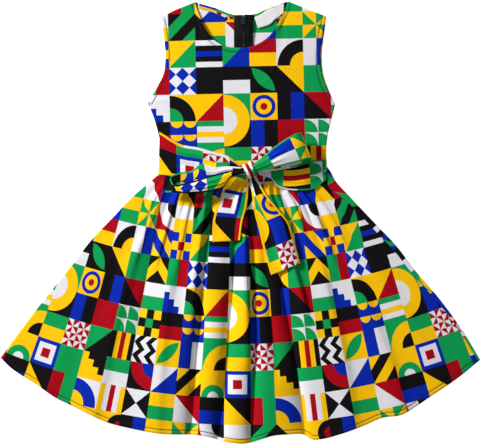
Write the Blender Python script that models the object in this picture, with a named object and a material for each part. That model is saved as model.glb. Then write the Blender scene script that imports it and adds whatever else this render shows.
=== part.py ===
"""A girl's sleeveless fit-and-flare dress, laid flat on its back, with a sash tied in a bow at the front.

The dress lies on the XY plane. +X is the viewer's right, +Y runs from hem to neck and +Z points up,
away from the surface. Tables are in millimetres and meshes in metres. The back panels lie flat on the
surface, the front panels lie on them, and the sash and bow lie on the front.
"""

import math

import bmesh
import bpy
import numpy as np
from mathutils import Vector
from mathutils.bvhtree import BVHTree

MM = 0.001

# Driving sizes, in millimetres
CLOTH = 1.2  # wall of one layer of cotton, with its turnings
SEAM = 0.3  # gap between pieces that are sewn or lie together
LAYER = CLOTH + SEAM  # height at which the next layer starts
CENTRE_BACK = 4.4  # x of the centre-back seam and the zip
ZIP_SLOT = 0.9  # half of the slot between the two halves, where the slider runs

# Corners of the panels, as (x, y)
WAIST_LEFT = (-119.5, 69.0)
WAIST_MIDDLE = (0.0, 75.0)
WAIST_RIGHT = (125.0, 83.0)
UNDERARM_LEFT = (-134.0, 173.0)
UNDERARM_RIGHT = (137.0, 171.5)
SHOULDER_LEFT = (-115.5, 298.0)
SHOULDER_RIGHT = (124.5, 298.5)
NECK_LEFT = (-66.0, 319.5)
NECK_RIGHT = (69.0, 320.5)
HEM_LEFT = (-347.5, -196.0)
HEM_RIGHT = (347.5, -199.0)

# Edges between those corners, each from waist to shoulder or from left to right
WAIST = [WAIST_LEFT, WAIST_MIDDLE, WAIST_RIGHT]
SIDE_LEFT = [WAIST_LEFT, (-116.5, 88.0), (-116.0, 114.0), (-121.0, 137.0), (-127.5, 157.5), UNDERARM_LEFT]
SIDE_RIGHT = [WAIST_RIGHT, (124.0, 108.0), (127.0, 130.5), (132.0, 151.0), UNDERARM_RIGHT]
ARMHOLE_LEFT = [
    UNDERARM_LEFT, (-119.0, 199.5), (-111.5, 215.0), (-108.5, 241.0), (-111.0, 269.0), SHOULDER_LEFT,
]
ARMHOLE_RIGHT = [
    UNDERARM_RIGHT, (121.5, 203.0), (116.0, 226.0), (116.0, 249.0), (119.5, 277.0), SHOULDER_RIGHT,
]
SEAM_SHOULDER_LEFT = [SHOULDER_LEFT, (-90.5, 309.5), NECK_LEFT]
SEAM_SHOULDER_RIGHT = [NECK_RIGHT, (94.0, 310.5), SHOULDER_RIGHT]
FRONT_NECK = [
    NECK_LEFT, (-56.5, 291.5), (-41.0, 267.0), (-25.0, 256.0), (-6.5, 253.0), (16.5, 255.0),
    (38.5, 267.0), (56.5, 291.5), NECK_RIGHT,
]
BACK_NECK_LEFT = [NECK_LEFT, (-37.0, 311.0), (-11.0, 301.5), (CENTRE_BACK - ZIP_SLOT, 301.0)]
BACK_NECK_RIGHT = [(CENTRE_BACK + ZIP_SLOT, 301.0), (18.0, 301.5), (37.0, 309.0), NECK_RIGHT]
SKIRT_LEFT = [
    WAIST_LEFT, (-134.0, 56.5), (-155.0, 38.5), (-186.0, 6.0), (-215.5, -25.0), (-246.5, -65.0),
    (-280.5, -106.5), (-315.5, -152.5), HEM_LEFT,
]
SKIRT_RIGHT = [
    WAIST_RIGHT, (130.5, 74.0), (136.0, 63.0), (158.0, 38.0), (200.0, -6.5), (225.5, -33.5),
    (254.0, -70.5), (285.0, -106.5), (320.5, -154.5), HEM_RIGHT,
]
FRONT_HEM = [
    HEM_LEFT, (-335.5, -208.0), (-294.0, -235.5), (-269.0, -253.0), (-245.0, -264.5), (-189.0, -290.5),
    (-158.0, -298.0), (-119.5, -305.0), (-54.5, -308.5), (-13.0, -318.5), (9.0, -319.5), (31.0, -313.0),
    (46.0, -308.5), (68.5, -306.5), (92.0, -307.0), (104.0, -314.0), (119.0, -313.0), (145.0, -306.0),
    (175.0, -295.5), (207.5, -282.0), (234.0, -278.0), (248.0, -270.5), (270.0, -255.5), (320.5, -221.0),
    HEM_RIGHT,
]
BACK_HEM = [
    HEM_LEFT, (-269.0, -251.0), (-158.0, -295.0), (CENTRE_BACK, -304.0), (158.0, -295.0), (270.0, -252.0),
    HEM_RIGHT,
]

# Bodice. Shares across the width and up the height, from 0 to 1
BODICE_PUFF = 3.4  # how far the front stands off the back in the middle
PUFF_POWER = 2.5
SHOULDERS_DOWN_FROM = 0.72  # height at which the front starts to come down to the shoulder seams
NECK_RISE_WIDTH = 0.12  # width over which it stays up beside the neck
NECK_POINTS_AT = (0.2, 0.8)  # where the neck meets the shoulder seams, across the front
SHOULDER_STEPS = 4
NECK_STEPS = 15
SIDE_STEPS = 5
ARMHOLE_STEPS = 8
NECK_END = 0.55  # where the neck meets the shoulder seam on each half of the back, counted from the zip
UNDERARM_AT = 0.45  # where the side seam meets the armhole, up the side
BACK_ACROSS = [0.0, 0.03, 0.06, 0.09, 0.12, 0.2, 0.3, 0.4, NECK_END, 0.75, 1.0]
BACK_UP = [0.0, 0.1125, 0.225, 0.3375, UNDERARM_AT, 0.56, 0.65, 0.74, 0.81, 0.848, 0.886, 0.924, 0.962, 1.0]
BACK_SHOWS = 2.0  # how far the back's right armhole shows past the front's
BACK_SHOWS_AT = (0.45, 0.6, 0.9, 1.0)  # where that starts, is full, starts to end and ends

# Skirt front. Shares across the width and down the length, from 0 to 1
SKIRT_COLUMNS_A_FOLD = 4
SKIRT_TOP_ROWS = 4  # rows in the gathers at the waist
SKIRT_TOP_AT = 0.16
SKIRT_ROWS = 18
SKIRT_LIFT_WAIST = 4.0
SKIRT_LIFT_SIDES = 3.0
SKIRT_LIFT_MIDDLE = 13.0
SKIRT_LIFT_FULL = 0.7  # how far down the lift is full
SKIRT_MIDDLE_AT = 0.47
SKIRT_MIDDLE_WIDTH = 0.2
SIDE_POWER = 4  # how steeply the lift ends at the sides
FLARE_POWER = 0.8  # how soon the fold lines spread from the waist to the hem
VALLEY_START = 0.06  # half of the length over which a valley deepens
VALLEY_END = 0.15  # length over which it dies out
VALLEY_NARROW = 0.45  # its width at the waist, as a share of that at the hem
GATHERS = 15
GATHER_HEIGHT = 1.1
GATHER_REACH = 0.14
SIDE_WRAP = 2.3  # height of the front's right edge, beside the back panel's turned edge
SIDE_WRAP_POWER = 8

# Valleys between the skirt's folds.
# Columns: x at the waist, x at the hem, where it starts and ends down the skirt (0 to 1), depth (0 to 1)
# and half-width at the hem.
VALLEYS = [
    (-108.0, -245.0, 0.02, 0.28, 0.45, 10.0),
    (-84.0, -163.0, 0.02, 0.75, 0.70, 12.0),
    (-30.0, -72.0, 0.03, 1.10, 0.90, 11.0),
    (3.0, -33.0, 0.12, 1.10, 0.90, 11.0),
    (20.0, 15.0, 0.25, 1.10, 0.80, 9.0),
    (36.0, 94.0, 0.12, 1.10, 0.92, 11.0),
    (64.0, 139.0, 0.03, 0.42, 0.60, 9.0),
    (84.0, 176.0, 0.08, 0.44, 0.55, 9.0),
    (97.0, 215.0, 0.08, 0.62, 0.62, 12.0),
    (111.0, 268.0, 0.04, 0.50, 0.50, 10.0),
]

# Skirt back
BACK_COLUMNS = 11
BACK_ROWS = 10
WRAPPED_COLUMNS = 9
WRAP_RADIUS = 1.15  # of the middle of the cloth, where the right panel turns round the side
WRAP_STEPS = 4
WRAP_LEAST = 0.1  # narrowest strip past the turn
# Width of the strip that lies on the front's side. Columns: share of the way down the side, width.
WRAP_STRIP = [(0.0, 2.2), (0.04, 8.0), (0.08, 13.5), (0.12, 9.0), (0.17, 7.0), (0.4, 7.0), (1.0, 3.0)]

# Zip
TAPE_WIDTH = 13.8
TAPE_THICK = 1.0
TAPE_ACROSS = [ZIP_SLOT, 4.0, 9.0, TAPE_WIDTH]
ZIP_TOP = 300.5
ZIP_END = 25.0
HEAD_BELOW = 256.0  # the tape's rows are close together above here
TAPE_REACH = 3.0
HEAD_RISE = 3.5  # the back panels stand off the surface here, over the slider and its pull
HEAD_RISE_FULL = 4.0  # half-width of the full rise
HEAD_RISE_NONE = 14.0  # half-width where it has died out
HEAD_RISE_FROM = 262.0
HEAD_RISE_TO = 275.0
SLIDER_Y = (287.5, 298.5)
SLIDER_HALF_WIDTH = 3.1
SLIDER_POST = 0.6
POST_Y = (290.0, 296.0)
POST_SUNK = (0.4, 0.6)  # how far the post runs into the lower and upper plates
PLATE = 0.8
UPPER_PLATE = 1.5
PLATE_ROUNDING = 0.5
PULL_AXIS_Y = 292.0
PULL_AXIS_Z = 1.65
PULL_THICK = 0.9
PULL_HALF_WIDTH = 2.6
PULL_LENGTH = 15.0
PULL_ROUNDING = 0.3
PULL_WINDOW = 5.0
WINDOW_HALF_WIDTH = 1.3
CUT_PAST = 1.0  # how far a cutter runs past what it cuts
BRIDGE_HALF_WIDTH = 0.6
BRIDGE_REACH = 1.9
BRIDGE_WALL = 0.6
BRIDGE_LOW = 0.3
BRIDGE_SUNK = 0.5

# Facing and label
FACING_WIDTH = 6.5
FACING_THICK = 1.0
FACING_INSET = 0.4  # from the edge of the neck
FACING_STEPS = 8
FACING_LEFT = (0.1, 0.82)  # the stretch of the neck's edge that it follows on the left half
FACING_RIGHT = (0.2, 0.9)  # and on the right half
LABEL_THICK = 1.0
LABEL_TOP = [(19.6, 300.0), (37.0, 308.4), (63.0, 317.0)]
LABEL_LOW = [(25.0, 281.5), (44.5, 288.5), (58.0, 304.0)]
LABEL_COLUMNS = 7

# Sash bands, each as its upper and lower edge from the side seam to the knot
SASH_LEFT_UPPER = [
    (-117.0, 131.0), (-85.0, 112.5), (-62.5, 108.5), (-36.0, 101.0), (-20.0, 96.5), (0.0, 83.0),
]
SASH_LEFT_LOWER = [(-118.5, 70.0), (-95.0, 67.0), (-58.5, 61.5), (-27.0, 61.5), (0.0, 71.0)]
SASH_RIGHT_UPPER = [(123.5, 91.0), (103.5, 89.0), (79.0, 82.0), (50.0, 78.0), (26.5, 82.0)]
SASH_RIGHT_LOWER = [(124.0, 62.0), (106.5, 49.0), (86.0, 46.5), (64.5, 50.0), (45.5, 57.5), (26.5, 69.0)]
SASH_PLEATS = 3
SASH_PLEAT_HEIGHT = 1.6
SASH_PLEATS_FROM = (0.1, 0.9)  # shares of its length where the pleats start and are full
SASH_COLUMNS = 18
SASH_ROWS = 8
BAND_REACH = 6.0  # a band rests on the highest point within this reach
SASH_SMOOTHING = 6

# Bow tails, each as its left and right edge from the knot to the end
TAIL_LEFT_A = [(4.0, 78.0), (-22.0, 49.0), (-29.5, 29.5), (-38.5, 6.0), (-41.0, -28.0)]
TAIL_LEFT_B = [(10.5, 76.0), (10.5, 56.0), (7.5, 19.5), (3.0, 4.5), (-1.0, -25.5)]
TAIL_RIGHT_A = [(12.0, 72.0), (16.5, 43.0), (21.0, 12.0), (25.5, -4.5), (32.5, -34.0), (44.5, -76.0)]
TAIL_RIGHT_B = [(18.5, 74.0), (35.5, 43.0), (56.5, 16.0), (68.5, 1.5), (77.0, -25.0), (86.0, -59.0)]
TAIL_FOLD_HEIGHT = 3.0
TAIL_FOLD_FULL = 0.3  # share of the length at which the fold is full
TAIL_FOLD_LOST = 0.6  # share of its height that it loses from TAIL_FLATTENS to the end
TAIL_FLATTENS = 0.4
TAIL_ROWS = 17
TAIL_COLUMNS = 8
TAIL_SMOOTHING = 8

# Loops of the bow: a band of cloth that runs out from the knot, turns and comes back.
# Columns: x, y, z, half-width, direction across the band in degrees, arch of the band
LOOP_LEFT = [
    (7.0, 74.7, 18.0, 4.6, 97.0, 0.3),
    (-22.0, 73.0, 15.5, 8.5, 97.0, 1.0),
    (-46.0, 67.0, 15.0, 12.5, 96.0, 1.5),
    (-72.0, 61.5, 15.0, 14.5, 92.0, 1.5),
    (-92.0, 58.0, 16.5, 14.0, 84.0, 1.0),
    (-103.0, 54.5, 20.0, 11.0, 76.0, 0.5),
    (-98.0, 50.0, 23.5, 6.5, 80.0, 0.3),
    (-80.0, 49.5, 25.0, 6.8, 88.0, -0.8),
    (-60.0, 52.5, 25.0, 9.2, 92.0, -1.5),
    (-40.0, 57.0, 24.5, 10.8, 97.0, -1.5),
    (-24.0, 62.5, 23.8, 9.2, 99.0, -1.2),
    (-10.0, 70.0, 24.0, 5.4, 98.0, -0.8),
    (7.0, 75.0, 25.8, 5.0, 95.0, -0.3),
]
LOOP_RIGHT = [
    (17.5, 76.7, 26.3, 5.5, 105.0, -1.0),
    (39.0, 87.0, 26.5, 10.0, 120.0, -1.5),
    (57.0, 96.5, 28.0, 15.0, 120.0, -2.5),
    (76.0, 105.0, 28.0, 18.5, 115.0, -2.5),
    (90.5, 110.5, 25.5, 20.0, 112.0, -1.0),
    (95.0, 110.5, 21.0, 20.5, 112.0, 0.0),
    (89.0, 106.5, 17.0, 20.5, 112.0, 1.0),
    (71.0, 98.0, 15.5, 18.5, 114.0, 1.5),
    (50.0, 87.0, 15.5, 12.0, 117.0, 1.0),
    (18.5, 77.0, 17.6, 5.0, 108.0, 0.3),
]
LOOP_ROWS = 28
LOOP_COLUMNS = 8
LOOP_REACH = 4.0

# Knot: a strap of cloth wound once round the necks of the loops
KNOT_CENTRE = (13.0, 75.5, 21.8)
KNOT_AXIS_DEG = 15.0
KNOT_RADII = (11.0, 8.2)
KNOT_WALL = 2.0
KNOT_HALF_LENGTH = 6.5
KNOT_FLARE = 1.12
KNOT_AROUND = 20
KNOT_ALONG = 5

STEEPEST = 0.55  # least upright part of a wall's normal that its thickness is taken from
EDGE_SAMPLES = 400
ABOVE_ALL = 500.0

COLOURS = {
    "green": (0.012, 0.342, 0.089),
    "yellow": (1.0, 0.578, 0.004),
    "red": (0.434, 0.001, 0.010),
    "blue": (0.002, 0.021, 0.402),
    "black": (0.008, 0.007, 0.008),
    "white": (0.855, 0.855, 0.905),
}


def clear_scene():
    """Removes every object that the file opened with."""
    for obj in list(bpy.data.objects):
        bpy.data.objects.remove(obj, do_unlink=True)


def material(name, colour, roughness=0.8, metallic=0.0):
    """A Principled material of one colour."""
    made = bpy.data.materials.new(name)
    made.use_nodes = True
    shader = made.node_tree.nodes["Principled BSDF"]
    shader.inputs["Base Color"].default_value = (*colour, 1.0)
    shader.inputs["Roughness"].default_value = roughness
    shader.inputs["Metallic"].default_value = metallic
    return made


def add_object(name, points, faces, finish):
    """A mesh object from points in millimetres."""
    mesh = bpy.data.meshes.new(name)
    mesh.from_pydata([tuple(p) for p in np.asarray(points) * MM], [], faces)
    mesh.validate()
    obj = bpy.data.objects.new(name, mesh)
    bpy.context.scene.collection.objects.link(obj)
    mesh.materials.append(finish)
    return obj


def smoothstep(low, high, value):
    """0 below low, 1 above high, and a smooth rise between."""
    share = np.clip((value - low) / (high - low), 0.0, 1.0)
    return share * share * (3.0 - 2.0 * share)


def through(rows, shares):
    """Values on a smooth curve through a table's rows, at shares of its length from 0 to 1."""
    rows = np.asarray(rows, float)
    steps = np.linalg.norm(np.diff(rows[:, : min(rows.shape[1], 3)], axis=0), axis=1)
    at = np.concatenate([[0.0], np.cumsum(steps)])
    slopes = np.gradient(rows, at, axis=0)
    where = np.asarray(shares, float) * at[-1]
    k = np.clip(np.searchsorted(at, where, side="right") - 1, 0, len(at) - 2)
    span = (at[k + 1] - at[k])[:, None]
    t = ((where - at[k]) / (at[k + 1] - at[k]))[:, None]
    start = (2 * t**3 - 3 * t**2 + 1) * rows[k] + (t**3 - 2 * t**2 + t) * span * slopes[k]
    end = (-2 * t**3 + 3 * t**2) * rows[k + 1] + (t**3 - t**2) * span * slopes[k + 1]
    return start + end


def joined(first, second, split, shares):
    """Two edges end to end: the first fills the shares up to split and the second the rest."""
    shares = np.asarray(shares, float)
    a = through(first, np.clip(shares / split, 0, 1))
    b = through(second, np.clip((shares - split) / (1 - split), 0, 1))
    return np.where((shares <= split)[:, None], a, b)


def patch(low, high, left, right, across, up):
    """A Coons patch: rows of (x, y) points that blend four edges, at shares across and up."""
    u = np.asarray(across)[None, :, None]
    v = np.asarray(up)[:, None, None]
    ruled_v = (1 - v) * low[None] + v * high[None]
    ruled_u = (1 - u) * left[:, None] + u * right[:, None]
    corners = (1 - v) * ((1 - u) * low[0] + u * low[-1]) + v * ((1 - u) * high[0] + u * high[-1])
    return ruled_v + ruled_u - corners


def grid_faces(rows, columns, first=0, flip=False):
    """Triangles of a grid of points, counted from first."""
    faces = []
    for i in range(rows - 1):
        for j in range(columns - 1):
            a = first + i * columns + j
            b, c, d = a + 1, a + columns + 1, a + columns
            faces += [(a, b, c), (a, c, d)]
    return [f[::-1] for f in faces] if flip else faces


def rim_faces(rows, columns):
    """Triangles that close the four edges between a lower grid and the upper grid that follows it."""
    ring = [j for j in range(columns)]
    ring += [i * columns + columns - 1 for i in range(1, rows)]
    ring += [(rows - 1) * columns + j for j in range(columns - 2, -1, -1)]
    ring += [i * columns for i in range(rows - 2, 0, -1)]
    over = rows * columns
    faces = []
    for a, b in zip(ring, ring[1:] + ring[:1]):
        faces += [(a, b, b + over), (a, b + over, a + over)]
    return faces


def cloth_between(name, lower, upper, finish):
    """A closed wall of cloth between two grids of points with the same rows and columns."""
    rows, columns = lower.shape[:2]
    faces = grid_faces(rows, columns, 0, flip=True)
    faces += grid_faces(rows, columns, rows * columns)
    faces += rim_faces(rows, columns)
    points = np.concatenate([lower.reshape(-1, 3), upper.reshape(-1, 3)])
    return add_object(name, points, faces, finish)


def normals_of(grid):
    """Unit normals of a grid of points."""
    du = np.gradient(grid, axis=1)
    dv = np.gradient(grid, axis=0)
    normal = np.cross(du, dv)
    return normal / np.linalg.norm(normal, axis=2, keepdims=True)


def laid_cloth(name, flat, height, finish, thick=CLOTH):
    """A wall over (x, y) points with its lower side at the given heights. It is as thick as the cloth
    across its slope, and is measured straight up, so that steep sides never cross."""
    lower = np.dstack([flat, height])
    slope = np.clip(np.abs(normals_of(lower)[:, :, 2]), STEEPEST, 1.0)
    upper = lower.copy()
    upper[:, :, 2] += thick / slope
    return cloth_between(name, lower, upper, finish)


def swept_cloth(name, middle, finish, thick=CLOTH):
    """A wall on both sides of a grid of points, along its normals."""
    normal = normals_of(middle)
    return cloth_between(name, middle - normal * thick / 2, middle + normal * thick / 2, finish)


class Pile:
    """What a later piece lies on: the highest point of the pieces below it."""

    def __init__(self, objects):
        self.trees = []
        for obj in objects:
            points = [v.co / MM for v in obj.data.vertices]
            self.trees.append(BVHTree.FromPolygons(points, [p.vertices[:] for p in obj.data.polygons]))

    def top(self, x, y):
        """The height at one place, or 0 where nothing lies."""
        found = 0.0
        for tree in self.trees:
            hit = tree.ray_cast(Vector((x, y, ABOVE_ALL)), Vector((0.0, 0.0, -1.0)))[0]
            if hit is not None:
                found = max(found, hit.z)
        return found

    def heights(self, flat, reach):
        """Heights under a grid of (x, y) points, each the highest within reach."""
        ring = [(0.0, 0.0)]
        ring += [(reach * math.cos(a), reach * math.sin(a)) for a in np.arange(8) * math.pi / 4]
        ring += [(reach / 2 * math.cos(a), reach / 2 * math.sin(a)) for a in np.arange(8) * math.pi / 4]
        found = np.zeros(flat.shape[:2])
        for i, j in np.ndindex(*found.shape):
            x, y = flat[i, j]
            found[i, j] = max(self.top(x + dx, y + dy) for dx, dy in ring)
        return found


def spread(values, times):
    """Smooths heights over their neighbours, never lower than they were."""
    out = values.copy()
    for _ in range(times):
        wide = np.pad(out, 1, mode="edge")
        mean = (wide[:-2, 1:-1] + wide[2:, 1:-1] + wide[1:-1, :-2] + wide[1:-1, 2:]) / 4
        out = np.maximum(values, mean)
    return out


def head_rise(flat):
    """How far the back stands off the surface round the zip's head."""
    across = 1 - smoothstep(HEAD_RISE_FULL, HEAD_RISE_NONE, np.abs(flat[:, :, 0] - CENTRE_BACK))
    return HEAD_RISE * across * smoothstep(HEAD_RISE_FROM, HEAD_RISE_TO, flat[:, :, 1])


def waist_line(shares, drop=0.0):
    """The waist seam from left to right, moved down by drop."""
    line = through(WAIST, shares)
    line[:, 1] -= drop
    return line


def scaled_share(edge, x):
    """The share of an edge's length at which it reaches x."""
    shares = np.linspace(0, 1, EDGE_SAMPLES)
    return np.interp(x, through(edge, shares)[:, 0], shares)


def build_bodice_back(side, finish):
    """One half of the back bodice, flat on the surface but for the rise over the zip's head."""
    from_zip = np.array(BACK_ACROSS)
    up = np.array(BACK_UP)
    if side == "left":
        across = 1 - from_zip[::-1]
        waist = waist_line(across * scaled_share(WAIST, CENTRE_BACK - ZIP_SLOT))
        top = joined(SEAM_SHOULDER_LEFT, BACK_NECK_LEFT, 1 - NECK_END, across)
        outer = joined(SIDE_LEFT, ARMHOLE_LEFT, UNDERARM_AT, up)
        middle = np.linspace(0, 1, 2)[:, None] * (top[-1] - waist[-1]) + waist[-1]
        left, right = outer, through(middle, up)
    else:
        across = from_zip
        start = scaled_share(WAIST, CENTRE_BACK + ZIP_SLOT)
        waist = waist_line(start + across * (1 - start))
        top = joined(BACK_NECK_RIGHT, SEAM_SHOULDER_RIGHT, NECK_END, across)
        outer = joined(SIDE_RIGHT, ARMHOLE_RIGHT, UNDERARM_AT, up)
        start_at, full_at, end_at, ended_at = BACK_SHOWS_AT
        shown = smoothstep(start_at, full_at, up) * (1 - smoothstep(end_at, ended_at, up))
        outer[:, 0] += BACK_SHOWS * shown
        middle = np.linspace(0, 1, 2)[:, None] * (top[0] - waist[0]) + waist[0]
        left, right = through(middle, up), outer
    flat = patch(waist, top, left, right, across, up)
    return laid_cloth(f"bodice_back_{side}", flat, head_rise(flat), finish)


def bodice_front_height(across, up):
    """Heights of the front bodice's lower side: puffed in the middle, and down at sides and shoulders."""
    u, v = np.meshgrid(across, up)
    puff = 1 - np.abs(2 * u - 1) ** PUFF_POWER
    left_neck, right_neck = NECK_POINTS_AT
    neck = smoothstep(left_neck, left_neck + NECK_RISE_WIDTH, u)
    neck = neck * (1 - smoothstep(right_neck - NECK_RISE_WIDTH, right_neck, u))
    shoulder = (1 - neck) * smoothstep(SHOULDERS_DOWN_FROM, 1.0, v)
    return LAYER + BODICE_PUFF * puff * (1 - shoulder)


def build_bodice_front(finish):
    """The front bodice in one piece, with its scooped neck."""
    left_neck, right_neck = NECK_POINTS_AT
    across = np.linspace(0, left_neck, SHOULDER_STEPS + 1)
    across = np.append(across, np.linspace(left_neck, right_neck, NECK_STEPS + 1)[1:])
    across = np.append(across, np.linspace(right_neck, 1, SHOULDER_STEPS + 1)[1:])
    up = np.linspace(0, UNDERARM_AT, SIDE_STEPS + 1)
    up = np.append(up, np.linspace(UNDERARM_AT, 1, ARMHOLE_STEPS + 1)[1:])
    to_neck_end = np.clip(across / right_neck, 0, 1)
    neck = joined(SEAM_SHOULDER_LEFT, FRONT_NECK, left_neck / right_neck, to_neck_end)
    shoulder = through(SEAM_SHOULDER_RIGHT, np.clip((across - right_neck) / (1 - right_neck), 0, 1))
    top = np.where((across <= right_neck)[:, None], neck, shoulder)
    left = joined(SIDE_LEFT, ARMHOLE_LEFT, UNDERARM_AT, up)
    right = joined(SIDE_RIGHT, ARMHOLE_RIGHT, UNDERARM_AT, up)
    flat = patch(waist_line(across), top, left, right, across, up)
    return laid_cloth("bodice_front", flat, bodice_front_height(across, up), finish)


def wrap_width(down):
    """Width of the back skirt's strip on the front, down the right side."""
    share, width = np.array(WRAP_STRIP).T
    return np.interp(down, share, width)


def skirt_down():
    """Shares of the way down the skirt at which every panel has a row of points."""
    top = np.linspace(0, SKIRT_TOP_AT, SKIRT_TOP_ROWS + 1)
    return np.append(top, np.linspace(SKIRT_TOP_AT, 1, SKIRT_ROWS - SKIRT_TOP_ROWS)[1:])


def outward(edge, sign):
    """Unit vectors in the plane, square to an edge that runs down the skirt."""
    along = np.gradient(edge, axis=0)
    across = np.stack([-along[:, 1], along[:, 0]], axis=1) * sign
    return across / np.linalg.norm(across, axis=1, keepdims=True)


def fold_lines(down):
    """Shares of the front skirt's width at each fold line, one row for each share down it."""
    waist_shares = [scaled_share(WAIST, row[0]) for row in VALLEYS]
    hem_shares = [scaled_share(FRONT_HEM, row[1]) for row in VALLEYS]
    top = np.array([0.0, *waist_shares, 1.0])
    low = np.array([0.0, *hem_shares, 1.0])
    return top + (low - top) * np.asarray(down)[:, None] ** FLARE_POWER


def skirt_front_height(shares, down, lines, width):
    """Heights of the front skirt's lower side: a low swell, cut by valleys with round folds between."""
    v = np.asarray(down)[:, None]
    edge = 1 - np.abs(2 * shares - 1) ** SIDE_POWER
    swell = SKIRT_LIFT_MIDDLE * np.exp(-(((shares - SKIRT_MIDDLE_AT) / SKIRT_MIDDLE_WIDTH) ** 2))
    hem_lift = SKIRT_LIFT_SIDES + swell
    lift = SKIRT_LIFT_WAIST + (hem_lift - SKIRT_LIFT_WAIST) * smoothstep(0.0, SKIRT_LIFT_FULL, v)
    kept = np.ones_like(shares)
    for k, (_, _, start, end, depth, half_width) in enumerate(VALLEYS):
        shown = smoothstep(start - VALLEY_START, start + VALLEY_START, v)
        shown = shown * (1 - smoothstep(end - VALLEY_END, end, v))
        away = np.abs(shares - lines[:, k + 1 : k + 2]) * width[:, None]
        reach = half_width * (VALLEY_NARROW + (1 - VALLEY_NARROW) * v)
        kept *= 1 - depth * shown * np.exp(-away / reach)
    gathers = GATHER_HEIGHT * np.exp(-v / GATHER_REACH) * (1 - np.cos(2 * np.pi * GATHERS * shares))
    rest = LAYER + (SIDE_WRAP - LAYER) * shares**SIDE_WRAP_POWER
    return rest + edge * (lift * kept + gathers)


def build_skirt_front(finish):
    """The front skirt, from the waist seam down, with a column of points on every fold line."""
    down = skirt_down()
    lines = fold_lines(down)
    steps = np.arange((lines.shape[1] - 1) * SKIRT_COLUMNS_A_FOLD + 1) / SKIRT_COLUMNS_A_FOLD
    shares = np.array([np.interp(steps, np.arange(lines.shape[1]), row) for row in lines])
    left = through(SKIRT_LEFT, down)
    right = through(SKIRT_RIGHT, down)
    right = right - outward(right, 1) * (wrap_width(down)[:, None] + SEAM)
    left[0] = waist_line([0.0], SEAM)[0]
    take_in = right[0] - waist_line([1.0], SEAM)[0]
    flat = np.empty((*shares.shape, 2))
    for i, (v, row) in enumerate(zip(down, shares)):
        waist = waist_line(row, SEAM) + np.outer(row, take_in)
        hem = through(FRONT_HEM, row)
        corners = (1 - v) * (np.outer(1 - row, waist[0]) + np.outer(row, waist[-1]))
        corners = corners + v * (np.outer(1 - row, hem[0]) + np.outer(row, hem[-1]))
        sides = np.outer(1 - row, left[i]) + np.outer(row, right[i])
        flat[i] = (1 - v) * waist + v * hem + sides - corners
    width = np.linalg.norm(flat[:, -1] - flat[:, 0], axis=1)
    height = skirt_front_height(shares, down, lines, width)
    return laid_cloth("skirt_front", flat[::-1], height[::-1], finish)


def build_skirt_back_left(finish):
    """The left half of the back skirt, flat on the surface."""
    across = np.linspace(0, 1, BACK_COLUMNS)
    up = np.linspace(0, 1, BACK_ROWS)
    seam_share = scaled_share(WAIST, CENTRE_BACK - SEAM / 2)
    hem_share = scaled_share(BACK_HEM, CENTRE_BACK - SEAM / 2)
    waist = waist_line(across * seam_share, SEAM)
    hem = through(BACK_HEM, across * hem_share)
    left = through(SKIRT_LEFT, 1 - up)
    left[-1] = waist[0]
    seam = hem[-1] + np.outer(up, waist[-1] - hem[-1])
    flat = patch(hem, waist, left, seam, across, up)
    return laid_cloth("skirt_back_left", flat, np.zeros(flat.shape[:2]), finish)


def build_skirt_back_right(finish):
    """The right half of the back skirt, which turns round the side and comes back over the front."""
    across = np.linspace(0, 1, WRAPPED_COLUMNS)
    up = 1 - skirt_down()[::-1]
    seam_share = scaled_share(WAIST, CENTRE_BACK + SEAM / 2)
    hem_share = scaled_share(BACK_HEM, CENTRE_BACK + SEAM / 2)
    waist = waist_line(seam_share + across * (1 - seam_share), SEAM)
    hem = through(BACK_HEM, hem_share + across * (1 - hem_share))
    out = through(SKIRT_RIGHT, 1 - up)
    out[-1] = waist[-1]
    away = outward(out, -1)
    turn = WRAP_RADIUS + CLOTH / 2
    edge = out - away * turn
    seam = hem[0] + np.outer(up, waist[0] - hem[0])
    waist = waist + np.outer(across, edge[-1] - waist[-1])
    hem = hem + np.outer(across, edge[0] - hem[-1])
    flat = patch(hem, waist, seam, edge, across, up)
    middle = np.dstack([flat, np.full(flat.shape[:2], CLOTH / 2)])
    strips = [middle]
    for angle in np.linspace(0, np.pi, WRAP_STEPS + 1)[1:]:
        reach = edge + away * WRAP_RADIUS * math.sin(angle)
        rise = CLOTH / 2 + WRAP_RADIUS * (1 - math.cos(angle))
        strips.append(np.dstack([reach[:, None], np.full((len(up), 1), rise)]))
    width = wrap_width(1 - up)
    for share in (0.5, 1.0):
        back = edge - away * share * np.maximum(width - turn, WRAP_LEAST)[:, None]
        strips.append(np.dstack([back[:, None], np.full((len(up), 1), CLOTH / 2 + 2 * WRAP_RADIUS)]))
    return swept_cloth("skirt_back_right", np.concatenate(strips, axis=1), finish)


def build_facing(side, finish):
    """The turned band inside one half of the back neck, where it shows."""
    neck, span = (BACK_NECK_LEFT, FACING_LEFT) if side == "left" else (BACK_NECK_RIGHT, FACING_RIGHT)
    edge = through(neck, np.linspace(*span, FACING_STEPS + 1))
    edge = edge[np.abs(edge[:, 0] - CENTRE_BACK) > TAPE_WIDTH + SEAM]
    inward = -outward(edge, 1)
    flat = np.stack([edge + inward * (FACING_INSET + FACING_WIDTH * share) for share in (1.0, 0.5, 0.0)])
    return laid_cloth(f"neck_facing_{side}", flat, np.full(flat.shape[:2], LAYER), finish, FACING_THICK)


def build_tape(side, pile, finish):
    """One tape of the zip, on the inside of its half of the back."""
    across = np.array(TAPE_ACROSS)
    x = CENTRE_BACK + (-across[::-1] if side == "left" else across)
    y = np.append(np.linspace(ZIP_END, HEAD_BELOW, 6), np.linspace(HEAD_RISE_FROM, ZIP_TOP, 6))
    flat = np.dstack(np.meshgrid(x, y))
    height = pile.heights(flat, TAPE_REACH) + SEAM
    return laid_cloth(f"zip_tape_{side}", flat, height, finish, TAPE_THICK)


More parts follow.
